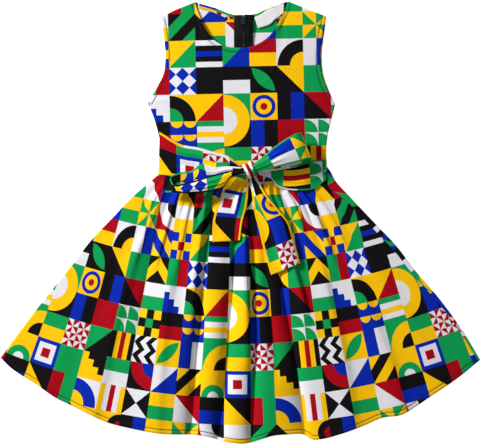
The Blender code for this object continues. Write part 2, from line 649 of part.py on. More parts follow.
def build_label(finish):
    """The blank label sewn along the right of the back neck."""
    across = np.linspace(0, 1, LABEL_COLUMNS)
    up = np.linspace(0, 1, 3)
    low = through(LABEL_LOW, across)
    top = through(LABEL_TOP, across)
    left = low[0] + np.outer(up, top[0] - low[0])
    right = low[-1] + np.outer(up, top[-1] - low[-1])
    flat = patch(low, top, left, right, across, up)
    height = np.full(flat.shape[:2], LAYER + FACING_THICK + SEAM)
    return laid_cloth("neck_label", flat, height, finish, LABEL_THICK)


def add_block(name, low, high, finish):
    """A block between two corners in millimetres."""
    made = bmesh.new()
    bmesh.ops.create_cube(made, size=1.0)
    for vert in made.verts:
        vert.co = [(low[k] if vert.co[k] < 0 else high[k]) * MM for k in range(3)]
    mesh = bpy.data.meshes.new(name)
    made.to_mesh(mesh)
    made.free()
    obj = bpy.data.objects.new(name, mesh)
    bpy.context.scene.collection.objects.link(obj)
    mesh.materials.append(finish)
    return obj


def round_edges(obj, radius):
    """Rounds every edge of a block."""
    bevel = obj.modifiers.new("rounded edges", "BEVEL")
    bevel.width = radius * MM
    bevel.segments = 2
    bevel.limit_method = "NONE"


def hide_helper(obj):
    """Keeps a cutter or a block that is joined to another out of the model."""
    obj.hide_render = True
    obj.display_type = "WIRE"


def combine(target, other, operation):
    """Adds a Boolean of the target with a helper."""
    modifier = target.modifiers.new(other.name, "BOOLEAN")
    modifier.operation = operation
    modifier.object = other
    hide_helper(other)


def build_slider(finish):
    """The zip's slider: a plate on each side of the cloth, a post between and a bridge for the pull."""
    under = HEAD_RISE - SEAM
    over = HEAD_RISE + LAYER + TAPE_THICK + SEAM
    x0, x1 = CENTRE_BACK - SLIDER_HALF_WIDTH, CENTRE_BACK + SLIDER_HALF_WIDTH
    y0, y1 = SLIDER_Y
    slider = add_block("zip_slider", (x0, y0, over), (x1, y1, over + UPPER_PLATE), finish)
    round_edges(slider, PLATE_ROUNDING)
    lower = add_block("slider_lower_plate", (x0, y0, under - PLATE), (x1, y1, under), finish)
    x0, x1 = CENTRE_BACK - SLIDER_POST, CENTRE_BACK + SLIDER_POST
    y0, y1 = POST_Y
    sunk_low, sunk_high = POST_SUNK
    post = add_block("slider_post", (x0, y0, under - sunk_low), (x1, y1, over + sunk_high), finish)
    x0, x1 = CENTRE_BACK - BRIDGE_HALF_WIDTH, CENTRE_BACK + BRIDGE_HALF_WIDTH
    y0, y1 = PULL_AXIS_Y - BRIDGE_REACH, PULL_AXIS_Y + BRIDGE_REACH
    bridge = add_block("slider_bridge", (x0, y0, BRIDGE_LOW), (x1, y1, under - PLATE + BRIDGE_SUNK), finish)
    hole_low = (x0 - CUT_PAST, y0 + BRIDGE_WALL, BRIDGE_LOW + BRIDGE_WALL)
    hole_high = (x1 + CUT_PAST, y1 - BRIDGE_WALL, under - PLATE)
    hole = add_block("slider_bridge_hole", hole_low, hole_high, finish)
    for block in (lower, post, bridge):
        combine(slider, block, "UNION")
    combine(slider, hole, "DIFFERENCE")
    return slider


def build_pull(finish):
    """The pull tab, flat under the back, with a window that the slider's bridge passes through."""
    half = PULL_THICK / 2
    z0, z1 = PULL_AXIS_Z - half, PULL_AXIS_Z + half
    low = (CENTRE_BACK - PULL_HALF_WIDTH, PULL_AXIS_Y - PULL_LENGTH, z0)
    high = (CENTRE_BACK + PULL_HALF_WIDTH, PULL_AXIS_Y + half, z1)
    pull = add_block("zip_pull", low, high, finish)
    round_edges(pull, PULL_ROUNDING)
    window_low = (CENTRE_BACK - WINDOW_HALF_WIDTH, PULL_AXIS_Y - PULL_WINDOW, z0 - CUT_PAST)
    window_high = (CENTRE_BACK + WINDOW_HALF_WIDTH, PULL_AXIS_Y - half, z1 + CUT_PAST)
    window = add_block("pull_window", window_low, window_high, finish)
    combine(pull, window, "DIFFERENCE")
    return pull


def build_sash(side, upper, lower, pile, finish):
    """A sash band from the side seam to the knot, pleated towards the knot, on the cloth below it."""
    along = np.linspace(0, 1, SASH_COLUMNS)
    over = np.linspace(0, 1, SASH_ROWS)
    top = through(upper, along)
    low = through(lower, along)
    flat = low[None] + over[:, None, None] * (top - low)[None]
    rest = spread(pile.heights(flat, BAND_REACH), SASH_SMOOTHING) + SEAM
    pleats = SASH_PLEAT_HEIGHT * smoothstep(*SASH_PLEATS_FROM, along)[None]
    pleats = pleats * (1 - np.cos(2 * np.pi * SASH_PLEATS * over))[:, None] / 2
    if side == "right":
        flat, rest, pleats = flat[:, ::-1], rest[:, ::-1], pleats[:, ::-1]
    return laid_cloth(f"sash_{side}", flat, rest + pleats, finish)


def build_tail(side, left, right, pile, finish):
    """A tail of the bow, from under the knot down over the skirt's folds."""
    down = np.linspace(1, 0, TAIL_ROWS)
    across = np.linspace(0, 1, TAIL_COLUMNS)
    a = through(left, down)
    b = through(right, down)
    flat = a[:, None] + across[None, :, None] * (b - a)[:, None]
    rest = spread(pile.heights(flat, BAND_REACH), TAIL_SMOOTHING) + SEAM
    kept = 1 - TAIL_FOLD_LOST * smoothstep(TAIL_FLATTENS, 1.0, down)
    kept = kept * smoothstep(0.0, TAIL_FOLD_FULL, down)
    fold = TAIL_FOLD_HEIGHT * np.sin(np.pi * across)[None] ** 2 * kept[:, None]
    return laid_cloth(f"bow_tail_{side}", flat, rest + fold, finish)


def ribbon(sections, rows, columns):
    """The middle of a band of cloth carried through a table of sections."""
    table = through(sections, np.linspace(0, 1, rows))
    w = np.linspace(-1, 1, columns)
    turn = np.radians(table[:, 4])
    across = np.stack([np.cos(turn), np.sin(turn), np.zeros(rows)], axis=1)
    middle = table[:, None, :3] + across[:, None] * (w[None] * table[:, 3:4])[:, :, None]
    bend = table[:, 5:6] * (1 - w[None] ** 2)
    return middle + normals_of(middle) * bend[:, :, None]


def build_loop(side, sections, pile, finish):
    """A loop of the bow, lifted clear of what it lies on."""
    middle = ribbon(sections, LOOP_ROWS, LOOP_COLUMNS)
    rest = pile.heights(middle[:, :, :2], LOOP_REACH) + SEAM + CLOTH
    middle[:, :, 2] = np.maximum(middle[:, :, 2], rest)
    return swept_cloth(f"bow_loop_{side}", middle, finish)


def build_knot(finish):
    """The strap round the necks of the loops: an oval ring that flares at both ends."""
    turn = math.radians(KNOT_AXIS_DEG)
    axis = np.array([math.cos(turn), math.sin(turn), 0.0])
    side = np.array([-math.sin(turn), math.cos(turn), 0.0])
    up = np.array([0.0, 0.0, 1.0])
    centre = np.array(KNOT_CENTRE)
    layers = []
    for shrink in (0.0, KNOT_WALL):
        for s in np.linspace(-1, 1, KNOT_ALONG):
            flare = 1 + (KNOT_FLARE - 1) * s * s
            for angle in np.arange(KNOT_AROUND) * 2 * math.pi / KNOT_AROUND:
                reach = (KNOT_RADII[0] * flare - shrink) * math.cos(angle)
                rise = (KNOT_RADII[1] * flare - shrink) * math.sin(angle)
                layers.append(centre + axis * s * KNOT_HALF_LENGTH + side * reach + up * rise)
    faces = []
    inner = KNOT_ALONG * KNOT_AROUND
    for i in range(KNOT_ALONG - 1):
        for j in range(KNOT_AROUND):
            a, b = i * KNOT_AROUND + j, i * KNOT_AROUND + (j + 1) % KNOT_AROUND
            c, d = b + KNOT_AROUND, a + KNOT_AROUND
            faces += [(a, b, c, d), (inner + a, inner + d, inner + c, inner + b)]
    last = (KNOT_ALONG - 1) * KNOT_AROUND
    for j in range(KNOT_AROUND):
        k = (j + 1) % KNOT_AROUND
        faces += [(j, inner + j, inner + k, k), (last + j, last + k, inner + last + k, inner + last + j)]
    return add_object("bow_knot", layers, faces, finish)


def main():
    clear_scene()
    finish = {name: material(f"cotton {name}", colour) for name, colour in COLOURS.items()}
    tape = material("zip tape", (0.010, 0.010, 0.012), 0.7)
    metal = material("zip metal", (0.06, 0.06, 0.065), 0.35, 1.0)
    woven = material("label", (0.86, 0.86, 0.88), 0.6)

    backs = [build_bodice_back("left", finish["green"]), build_bodice_back("right", finish["yellow"])]
    backs += [build_skirt_back_left(finish["blue"]), build_skirt_back_right(finish["red"])]
    build_facing("left", finish["yellow"])
    build_facing("right", finish["yellow"])
    inside_back = Pile(backs)
    build_tape("left", inside_back, tape)
    build_tape("right", inside_back, tape)
    build_slider(metal)
    build_pull(metal)
    build_label(woven)
    bodice = build_bodice_front(finish["yellow"])
    skirt = build_skirt_front(finish["green"])

    fronts = Pile([bodice, skirt])
    sash_left = build_sash("left", SASH_LEFT_UPPER, SASH_LEFT_LOWER, fronts, finish["blue"])
    sash_right = build_sash("right", SASH_RIGHT_UPPER, SASH_RIGHT_LOWER, fronts, finish["white"])
    under_tails = Pile([bodice, skirt, sash_left, sash_right])
    tail_left = build_tail("left", TAIL_LEFT_A, TAIL_LEFT_B, under_tails, finish["red"])
    tail_right = build_tail("right", TAIL_RIGHT_A, TAIL_RIGHT_B, under_tails, finish["blue"])
    below = Pile([bodice, skirt, sash_left, sash_right, tail_left, tail_right])
    build_loop("left", LOOP_LEFT, below, finish["yellow"])
    build_loop("right", LOOP_RIGHT, below, finish["green"])
    build_knot(finish["green"])


main()
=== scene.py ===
"""Looks of a girl's sleeveless fit-and-flare dress in a wax print, laid flat on its back with its bow tied.

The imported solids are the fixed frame. Tables are in millimetres, in the solids' own frame: +X is the
viewer's right, +Y runs from hem to neck and +Z points up. Meshes are in metres. Every panel of cloth is a
closed wall over a grid of points that repeats its solid's form with finer folds, and carries its place on
the printed cloth in a UV map, so the print follows the cut and breaks at the gathers.
"""

from __future__ import annotations

import logging
import math
from collections.abc import Sequence
from dataclasses import dataclass, field
from enum import Enum

import bmesh
import bpy
import numpy as np
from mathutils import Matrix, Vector
from numpy.typing import NDArray


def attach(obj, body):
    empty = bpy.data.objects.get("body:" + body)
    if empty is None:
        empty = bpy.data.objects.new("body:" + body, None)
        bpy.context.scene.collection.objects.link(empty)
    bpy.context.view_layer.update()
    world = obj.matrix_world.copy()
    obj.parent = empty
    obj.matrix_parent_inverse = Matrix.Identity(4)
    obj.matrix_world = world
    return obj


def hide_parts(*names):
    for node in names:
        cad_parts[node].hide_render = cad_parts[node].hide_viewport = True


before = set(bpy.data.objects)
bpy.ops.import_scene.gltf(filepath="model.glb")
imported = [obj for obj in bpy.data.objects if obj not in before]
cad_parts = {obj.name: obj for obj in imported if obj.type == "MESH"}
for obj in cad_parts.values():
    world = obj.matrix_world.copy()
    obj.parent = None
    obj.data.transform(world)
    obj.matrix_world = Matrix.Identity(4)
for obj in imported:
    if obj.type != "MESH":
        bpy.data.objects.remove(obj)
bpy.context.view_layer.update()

Array = NDArray[np.float64]
Rows = Sequence[tuple[float, ...]]
log = logging.getLogger("wax print dress")

MM = 0.001
CUT_MAP = "cloth"  # UV map with each point's place on the printed cloth, in metres
STRIP_MAP = "turned"  # UV map with the place on the cloth of what is turned over at a band's edges
EDGE_FIELD = "edge"  # attribute with each point's distance from the nearest sewn edge, in metres
TURN_FIELD = "turn"  # attribute with its distance inside the line where a band's turned strip ends
FAR = 50.0  # distance where no sewn edge or turned strip is near, in millimetres
TINY = 1e-9  # least length that is divided by
EDGE_SAMPLES = np.linspace(0, 1, 60)  # shares at which a sewn edge is read for its pressed line

# Sizes that the solids share, in millimetres.
CLOTH = 1.2
SEAM = 0.3
LAYER = CLOTH + SEAM
CENTRE_BACK = 4.4
ZIP_SLOT = 0.9

WAIST_LEFT = (-119.5, 69.0)
WAIST_MIDDLE = (0.0, 75.0)
WAIST_RIGHT = (125.0, 83.0)
UNDERARM_LEFT = (-134.0, 173.0)
UNDERARM_RIGHT = (137.0, 171.5)
SHOULDER_LEFT = (-115.5, 298.0)
SHOULDER_RIGHT = (124.5, 298.5)
NECK_LEFT = (-66.0, 319.5)
NECK_RIGHT = (69.0, 320.5)
HEM_LEFT = (-347.5, -196.0)
HEM_RIGHT = (347.5, -199.0)

WAIST = [WAIST_LEFT, WAIST_MIDDLE, WAIST_RIGHT]
SIDE_LEFT = [WAIST_LEFT, (-116.5, 88.0), (-116.0, 114.0), (-121.0, 137.0), (-127.5, 157.5), UNDERARM_LEFT]
SIDE_RIGHT = [WAIST_RIGHT, (124.0, 108.0), (127.0, 130.5), (132.0, 151.0), UNDERARM_RIGHT]
ARMHOLE_LEFT = [
    UNDERARM_LEFT, (-119.0, 199.5), (-111.5, 215.0), (-108.5, 241.0), (-111.0, 269.0), SHOULDER_LEFT,
]
ARMHOLE_RIGHT = [
    UNDERARM_RIGHT, (121.5, 203.0), (116.0, 226.0), (116.0, 249.0), (119.5, 277.0), SHOULDER_RIGHT,
]
SEAM_SHOULDER_LEFT = [SHOULDER_LEFT, (-90.5, 309.5), NECK_LEFT]
SEAM_SHOULDER_RIGHT = [NECK_RIGHT, (94.0, 310.5), SHOULDER_RIGHT]
FRONT_NECK = [
    NECK_LEFT, (-56.5, 291.5), (-41.0, 267.0), (-25.0, 256.0), (-6.5, 253.0), (16.5, 255.0),
    (38.5, 267.0), (56.5, 291.5), NECK_RIGHT,
]
BACK_NECK_LEFT = [NECK_LEFT, (-37.0, 311.0), (-11.0, 301.5), (CENTRE_BACK - ZIP_SLOT, 301.0)]
BACK_NECK_RIGHT = [(CENTRE_BACK + ZIP_SLOT, 301.0), (18.0, 301.5), (37.0, 309.0), NECK_RIGHT]
SKIRT_LEFT = [
    WAIST_LEFT, (-134.0, 56.5), (-155.0, 38.5), (-186.0, 6.0), (-215.5, -25.0), (-246.5, -65.0),
    (-280.5, -106.5), (-315.5, -152.5), HEM_LEFT,
]
SKIRT_RIGHT = [
    WAIST_RIGHT, (130.5, 74.0), (136.0, 63.0), (158.0, 38.0), (200.0, -6.5), (225.5, -33.5),
    (254.0, -70.5), (285.0, -106.5), (320.5, -154.5), HEM_RIGHT,
]
FRONT_HEM = [
    HEM_LEFT, (-335.5, -208.0), (-294.0, -235.5), (-269.0, -253.0), (-245.0, -264.5), (-189.0, -290.5),
    (-158.0, -298.0), (-119.5, -305.0), (-54.5, -308.5), (-13.0, -318.5), (9.0, -319.5), (31.0, -313.0),
    (46.0, -308.5), (68.5, -306.5), (92.0, -307.0), (104.0, -314.0), (119.0, -313.0), (145.0, -306.0),
    (175.0, -295.5), (207.5, -282.0), (234.0, -278.0), (248.0, -270.5), (270.0, -255.5), (320.5, -221.0),
    HEM_RIGHT,
]
BACK_HEM = [
    HEM_LEFT, (-269.0, -251.0), (-158.0, -295.0), (CENTRE_BACK, -304.0), (158.0, -295.0), (270.0, -252.0),
    HEM_RIGHT,
]


def smoothstep(low: float, high: float, value: Array | float) -> Array:
    """A smooth rise: with t the share of the way from low to high, held to 0..1, it is t*t*(3 - 2t)."""
    share = np.clip((np.asarray(value, float) - low) / (high - low), 0.0, 1.0)
    return share * share * (3.0 - 2.0 * share)


def through(rows: Rows, shares: Array | Sequence[float]) -> Array:
    """A smooth curve through a table's rows: cubic Hermite spans, sloped by the rows' gradient over length.

    Args:
        rows: the table, whose first columns (up to three) are the place.
        shares: shares of the curve's length, from 0 to 1.

    Returns:
        One row of values for each share.
    """
    table = np.asarray(rows, float)
    steps = np.linalg.norm(np.diff(table[:, : min(table.shape[1], 3)], axis=0), axis=1)
    at = np.concatenate([[0.0], np.cumsum(steps)])
    slopes = np.gradient(table, at, axis=0)
    where = np.asarray(shares, float) * at[-1]
    k = np.clip(np.searchsorted(at, where, side="right") - 1, 0, len(at) - 2)
    span = (at[k + 1] - at[k])[:, None]
    t = ((where - at[k]) / (at[k + 1] - at[k]))[:, None]
    start = (2 * t**3 - 3 * t**2 + 1) * table[k] + (t**3 - 2 * t**2 + t) * span * slopes[k]
    end = (-2 * t**3 + 3 * t**2) * table[k + 1] + (t**3 - t**2) * span * slopes[k + 1]
    return start + end


def joined(first: Rows, second: Rows, split: float, shares: Array) -> Array:
    """Two edges end to end: the first fills the shares up to split and the second the rest.

    Args:
        first: the first edge's table.
        second: the second edge's table.
        split: the share where they meet.
        shares: shares of the whole, from 0 to 1.

    Returns:
        One point for each share.
    """
    a = through(first, np.clip(shares / split, 0, 1))
    b = through(second, np.clip((shares - split) / (1 - split), 0, 1))
    return np.where((shares <= split)[:, None], a, b)


def patch(low: Array, high: Array, left: Array, right: Array, across: Array, up: Array) -> Array:
    """A Coons patch: the two ruled surfaces between facing edges, less the bilinear one of the corners.

    Args:
        low: the lower edge, one point a column.
        high: the upper edge, one point a column.
        left: the left edge, one point a row.
        right: the right edge, one point a row.
        across: the columns' shares.
        up: the rows' shares.

    Returns:
        Rows of columns of (x, y) points.
    """
    u = np.asarray(across)[None, :, None]
    v = np.asarray(up)[:, None, None]
    ruled_v = (1 - v) * low[None] + v * high[None]
    ruled_u = (1 - u) * left[:, None] + u * right[:, None]
    corners = (1 - v) * ((1 - u) * low[0] + u * low[-1]) + v * ((1 - u) * high[0] + u * high[-1])
    return ruled_v + ruled_u - corners


def normals_of(grid: Array) -> Array:
    """Unit normals of a grid: the cross product of its gradients along the columns and the rows."""
    normal = np.cross(np.gradient(grid, axis=1), np.gradient(grid, axis=0))
    return normal / np.maximum(np.linalg.norm(normal, axis=2, keepdims=True), TINY)


def outward(edge: Array, sign: float) -> Array:
    """Unit vectors in the plane, a quarter turn from the edge's direction, times sign.

    Args:
        edge: points along the edge.
        sign: 1 for the left of its direction and -1 for the right.

    Returns:
        One unit vector for each point.
    """
    along = np.gradient(edge, axis=0)
    across = np.stack([-along[:, 1], along[:, 0]], axis=1) * sign
    return across / np.linalg.norm(across, axis=1, keepdims=True)


def along_rows(grid: Array, axis: int) -> Array:
    """Arc lengths over a grid: the running sum of the steps between neighbours along one axis.

    Args:
        grid: rows of columns of points.
        axis: 0 to measure up the columns and 1 along the rows.

    Returns:
        The length from the first point of each line.
    """
    steps = np.linalg.norm(np.diff(grid, axis=axis), axis=2)
    start = np.zeros_like(np.take(steps, [0], axis=axis))
    return np.concatenate([start, np.cumsum(steps, axis=axis)], axis=axis)


def distance_to_line(points: Array, line: Array) -> Array:
    """Distance in the plane from points to a chain of straight spans: the least over the spans.

    Args:
        points: (..., 2) places.
        line: (n, 2) points of the chain.

    Returns:
        One distance for each place.
    """
    flat = points.reshape(-1, 1, 2)
    start, span = line[None, :-1], np.diff(line, axis=0)[None]
    share = np.clip(((flat - start) * span).sum(2) / np.maximum((span**2).sum(2), TINY), 0, 1)
    away = np.linalg.norm(flat - start - share[:, :, None] * span, axis=2)
    return away.min(axis=1).reshape(points.shape[:-1])


def creases(u: Array, v: Array, rows: Rows) -> Array:
    """Soft ridges and troughs laid over a piece: each is a bell across a straight line from (u0, v0) to
    (u1, v1), height * exp(-((v - line) / width)^2), which rises and dies out smoothly at its two ends.

    Args:
        u: shares along the piece.
        v: shares across it.
        rows: columns u0, v0, u1, v1, height in millimetres and width as a share across.

    Returns:
        The height that they add at each point.
    """
    total = np.zeros(np.broadcast(u, v).shape)
    for u0, v0, u1, v1, height, width in rows:
        fade = 0.3 * (u1 - u0)
        line = v0 + (v1 - v0) * (u - u0) / (u1 - u0)
        shown = smoothstep(u0 - fade / 2, u0 + fade / 2, u) * (1 - smoothstep(u1 - fade, u1 + fade / 2, u))
        total = total + height * shown * np.exp(-(((v - line) / width) ** 2))
    return total


class Dye(Enum):
    """The print's six colours, as a letter in the chart and a linear colour."""

    GREEN = ("G", (0.004, 0.335, 0.082))
    YELLOW = ("Y", (1.0, 0.565, 0.003))
    RED = ("R", (0.400, 0.002, 0.009))
    BLUE = ("B", (0.002, 0.022, 0.400))
    BLACK = ("K", (0.006, 0.005, 0.006))
    WHITE = ("W", (0.790, 0.780, 0.820))


DYES = list(Dye)
DYE_AT = {dye.value[0]: k for k, dye in enumerate(DYES)}


class Motif(Enum):
    """The print's motifs, by their letter in the chart."""

    PLAIN = "p"
    HALF = "h"
    DIAGONAL = "d"
    QUARTER = "q"
    HOURGLASS = "o"
    PINWHEEL = "w"
    RING = "r"
    CHEVRON = "v"
    STRIPES = "s"
    CROSS = "x"
    NESTED = "n"
    CHECK = "c"
    LEAF = "l"
    FAN = "f"
    STEPS = "t"
    ZIGZAG = "z"


MOTIFS = list(Motif)
MOTIF_AT = {motif.value: k for k, motif in enumerate(MOTIFS)}

# The print, charted: 8 rows of 8 cells. Each token is a motif, its quarter turns, and its ground,
# figure and accent dyes. A capital motif is drawn four times at half its size.
CHART = (
    ("d0YKK", "h1GRR", "q0WBY", "s0YWR", "o0KWW", "h0GYK", "d2RWW", "h0BKK"),
    ("n0BWR", "p0GGG", "t0YKK", "h0WGG", "q2KRB", "d1BWW", "z1KYY", "f0YGW"),
    ("h0YGG", "W0WRB", "d3GKK", "s0KYR", "V1KWW", "l1YGG", "h1WBB", "q1GYK"),
    ("q3KYW", "h1KBB", "p0RRR", "Q0WGG", "c0YKG", "h0RKK", "F2BYY", "s1GWY"),
    ("q0GYW", "r0YBR", "h1BKK", "d0KRR", "h0GWW", "t2WBB", "q0YKG", "d1RYY"),
    ("h0WKK", "l0KGG", "d2YKK", "p0GGG", "v0YKK", "h1RGG", "O1WBB", "p0KKK"),
    ("d1BGG", "h0YRR", "q1WKY", "h1BWW", "z0YBB", "x0BYR", "d3YGG", "s1WKB"),
    ("f1YKR", "h1BKK", "h0GYY", "w1YGG", "q2RWK", "h0YWW", "z1GKK", "d0KYY"),
)
CELL = 39.0  # side of one cell
DROP = 3  # cells by which each repeat of the chart steps aside from the one below


class Value:
    """A number that shader nodes work out. Arithmetic on it adds Math nodes to the same material."""

    def __init__(self, tree: bpy.types.NodeTree, socket: bpy.types.NodeSocket) -> None:
        """Holds the material's nodes and the output that gives the number."""
        self.tree = tree
        self.socket = socket

    def math(self, operation: str, *others: Value | float) -> Value:
        """One Math node.

        Args:
            operation: its operation.
            others: the further numbers that it takes.

        Returns:
            Its result.
        """
        node = self.tree.nodes.new("ShaderNodeMath")
        node.operation = operation
        for slot, item in zip(node.inputs, (self, *others)):
            if isinstance(item, Value):
                self.tree.links.new(item.socket, slot)
            else:
                slot.default_value = float(item)
        return Value(self.tree, node.outputs[0])

    def __add__(self, other: Value | float) -> Value:
        """The sum."""
        return self.math("ADD", other)

    def __sub__(self, other: Value | float) -> Value:
        """The difference."""
        return self.math("SUBTRACT", other)

    def __mul__(self, other: Value | float) -> Value:
        """The product."""
        return self.math("MULTIPLY", other)

    def __truediv__(self, other: Value | float) -> Value:
        """The quotient."""
        return self.math("DIVIDE", other)

    def over(self, other: Value | float) -> Value:
        """1 where it is more than the other, and 0 elsewhere."""
        return self.math("GREATER_THAN", other)

    def under(self, other: Value | float) -> Value:
        """1 where it is less than the other, and 0 elsewhere."""
        return self.math("LESS_THAN", other)

    def is_near(self, number: float) -> Value:
        """1 where it is within a half of the number, and 0 elsewhere."""
        return self.math("COMPARE", number, 0.5)

    def odd(self) -> Value:
        """1 where its whole part is odd, and 0 where it is even."""
        return self.math("FLOOR").math("FLOORED_MODULO", 2.0).over(0.5)


class Nodes:
    """Adds nodes to one material and gives their results as values."""

    def __init__(self, name: str) -> None:
        """Starts a material with a Principled shader.

        Args:
            name: the material's name.
        """
        self.material = bpy.data.materials.new(name)
        self.material.use_nodes = True
        self.tree = self.material.node_tree
        self.shader = self.tree.nodes["Principled BSDF"]

    def node(self, kind: str, **settings: object) -> bpy.types.Node:
        """A node with some of its settings.

        Args:
            kind: the node's type.
            settings: attributes to set on it.

        Returns:
            The node.
        """
        made = self.tree.nodes.new(kind)
        for key, value in settings.items():
            setattr(made, key, value)
        return made

    def place(self, name: str = CUT_MAP) -> tuple[Value, Value]:
        """The point's place on the cloth by one of its UV maps.

        Args:
            name: the UV map.

        Returns:
            The coordinates across and along the cloth, in cells.
        """
        uv = self.node("ShaderNodeUVMap", uv_map=name)
        split = self.node("ShaderNodeSeparateXYZ")
        self.tree.links.new(uv.outputs["UV"], split.inputs[0])
        size = CELL * MM
        return Value(self.tree, split.outputs["X"]) / size, Value(self.tree, split.outputs["Y"]) / size

    def printed_place(self) -> tuple[Value, Value]:
        """The place on the cloth of what shows: the turned strip's map where the turn field is below 0, and
        the panel's own map elsewhere.

        Returns:
            The two coordinates, in cells.
        """
        strip = self.carried(TURN_FIELD).under(0.0)
        pairs = zip(self.place(CUT_MAP), self.place(STRIP_MAP))
        across, along = (own + (turned - own) * strip for own, turned in pairs)
        return across, along

    def carried(self, name: str) -> Value:
        """A number that the mesh carries at its points."""
        return Value(self.tree, self.node("ShaderNodeAttribute", attribute_name=name).outputs["Fac"])

    def table(self, at: Value, colours: Sequence[tuple[float, float, float]]) -> bpy.types.Node:
        """Looks a colour up: a constant colour ramp whose stop k fills the span from k/n to (k+1)/n.

        Args:
            at: the stop's number.
            colours: one colour for each stop, at most 32.

        Returns:
            The ramp's node.
        """
        count = len(colours)
        node = self.node("ShaderNodeValToRGB")
        node.color_ramp.interpolation = "CONSTANT"
        for k, colour in enumerate(colours):
            stops = node.color_ramp.elements
            stop = stops[k] if k < 2 and k < len(stops) else stops.new(k / count)
            stop.position = k / count
            stop.color = (*colour, 1.0)
        self.tree.links.new(((at + 0.5) / count).socket, node.inputs["Fac"])
        return node

    def parts(self, colour: bpy.types.NodeSocket) -> list[Value]:
        """The three channels of a colour.

        Args:
            colour: the colour's socket.

        Returns:
            Red, green and blue.
        """
        split = self.node("ShaderNodeSeparateColor")
        self.tree.links.new(colour, split.inputs[0])
        return [Value(self.tree, out) for out in split.outputs[:3]]

    def noise(self, scale: float, detail: float, roughness: float = 0.5, stretch: float = 1.0) -> Value:
        """Noise over the object's own coordinates.

        Args:
            scale: how many times it varies in a metre.
            detail: its octaves.
            roughness: how strong the finer ones are.
            stretch: how much faster it varies along x.

        Returns:
            Its value, about 0.5.
        """
        place = self.node("ShaderNodeTexCoord")
        turn = self.node("ShaderNodeMapping")
        turn.inputs["Scale"].default_value = (scale * stretch, scale, scale)
        made = self.node("ShaderNodeTexNoise")
        made.inputs["Scale"].default_value = 1.0
        made.inputs["Detail"].default_value = detail
        made.inputs["Roughness"].default_value = roughness
        self.tree.links.new(place.outputs["Object"], turn.inputs["Vector"])
        self.tree.links.new(turn.outputs["Vector"], made.inputs["Vector"])
        return Value(self.tree, made.outputs["Fac"])

    def finish(
        self, colour: bpy.types.NodeSocket, values: dict[str, float], layers: Sequence[tuple[Value, float]]
    ) -> bpy.types.Material:
        """Joins a colour to the shader, sets its own values and adds one Bump node after another.

        Args:
            colour: the colour's socket.
            values: the shader's inputs by name and their numbers.
            layers: pairs of a height and its distance in millimetres.

        Returns:
            The material.
        """
        self.tree.links.new(colour, self.shader.inputs["Base Color"])
        for key, value in values.items():
            self.shader.inputs[key].default_value = value
        last = None
        for height, distance in layers:
            made = self.node("ShaderNodeBump")
            made.inputs["Distance"].default_value = distance * MM
            self.tree.links.new(height.socket, made.inputs["Height"])
            if last is not None:
                self.tree.links.new(last.outputs["Normal"], made.inputs["Normal"])
            last = made
        self.tree.links.new(last.outputs["Normal"], self.shader.inputs["Normal"])
        return self.material

    def tint(self, colour: tuple[float, float, float], factor: Value) -> bpy.types.NodeSocket:
        """One colour times a number that varies over the surface.

        Args:
            colour: red, green and blue.
            factor: the number.

        Returns:
            The colour's socket.
        """
        made = self.node("ShaderNodeRGB")
        made.outputs[0].default_value = (*colour, 1.0)
        return self.shade(made.outputs[0], factor)

    def shade(self, colour: bpy.types.NodeSocket, factor: Value) -> bpy.types.NodeSocket:
        """A colour times a number.

        Args:
            colour: the colour's socket.
            factor: the number.

        Returns:
            The product's socket.
        """
        made = self.node("ShaderNodeVectorMath", operation="SCALE")
        self.tree.links.new(colour, made.inputs[0])
        self.tree.links.new(factor.socket, made.inputs["Scale"])
        return made.outputs[0]


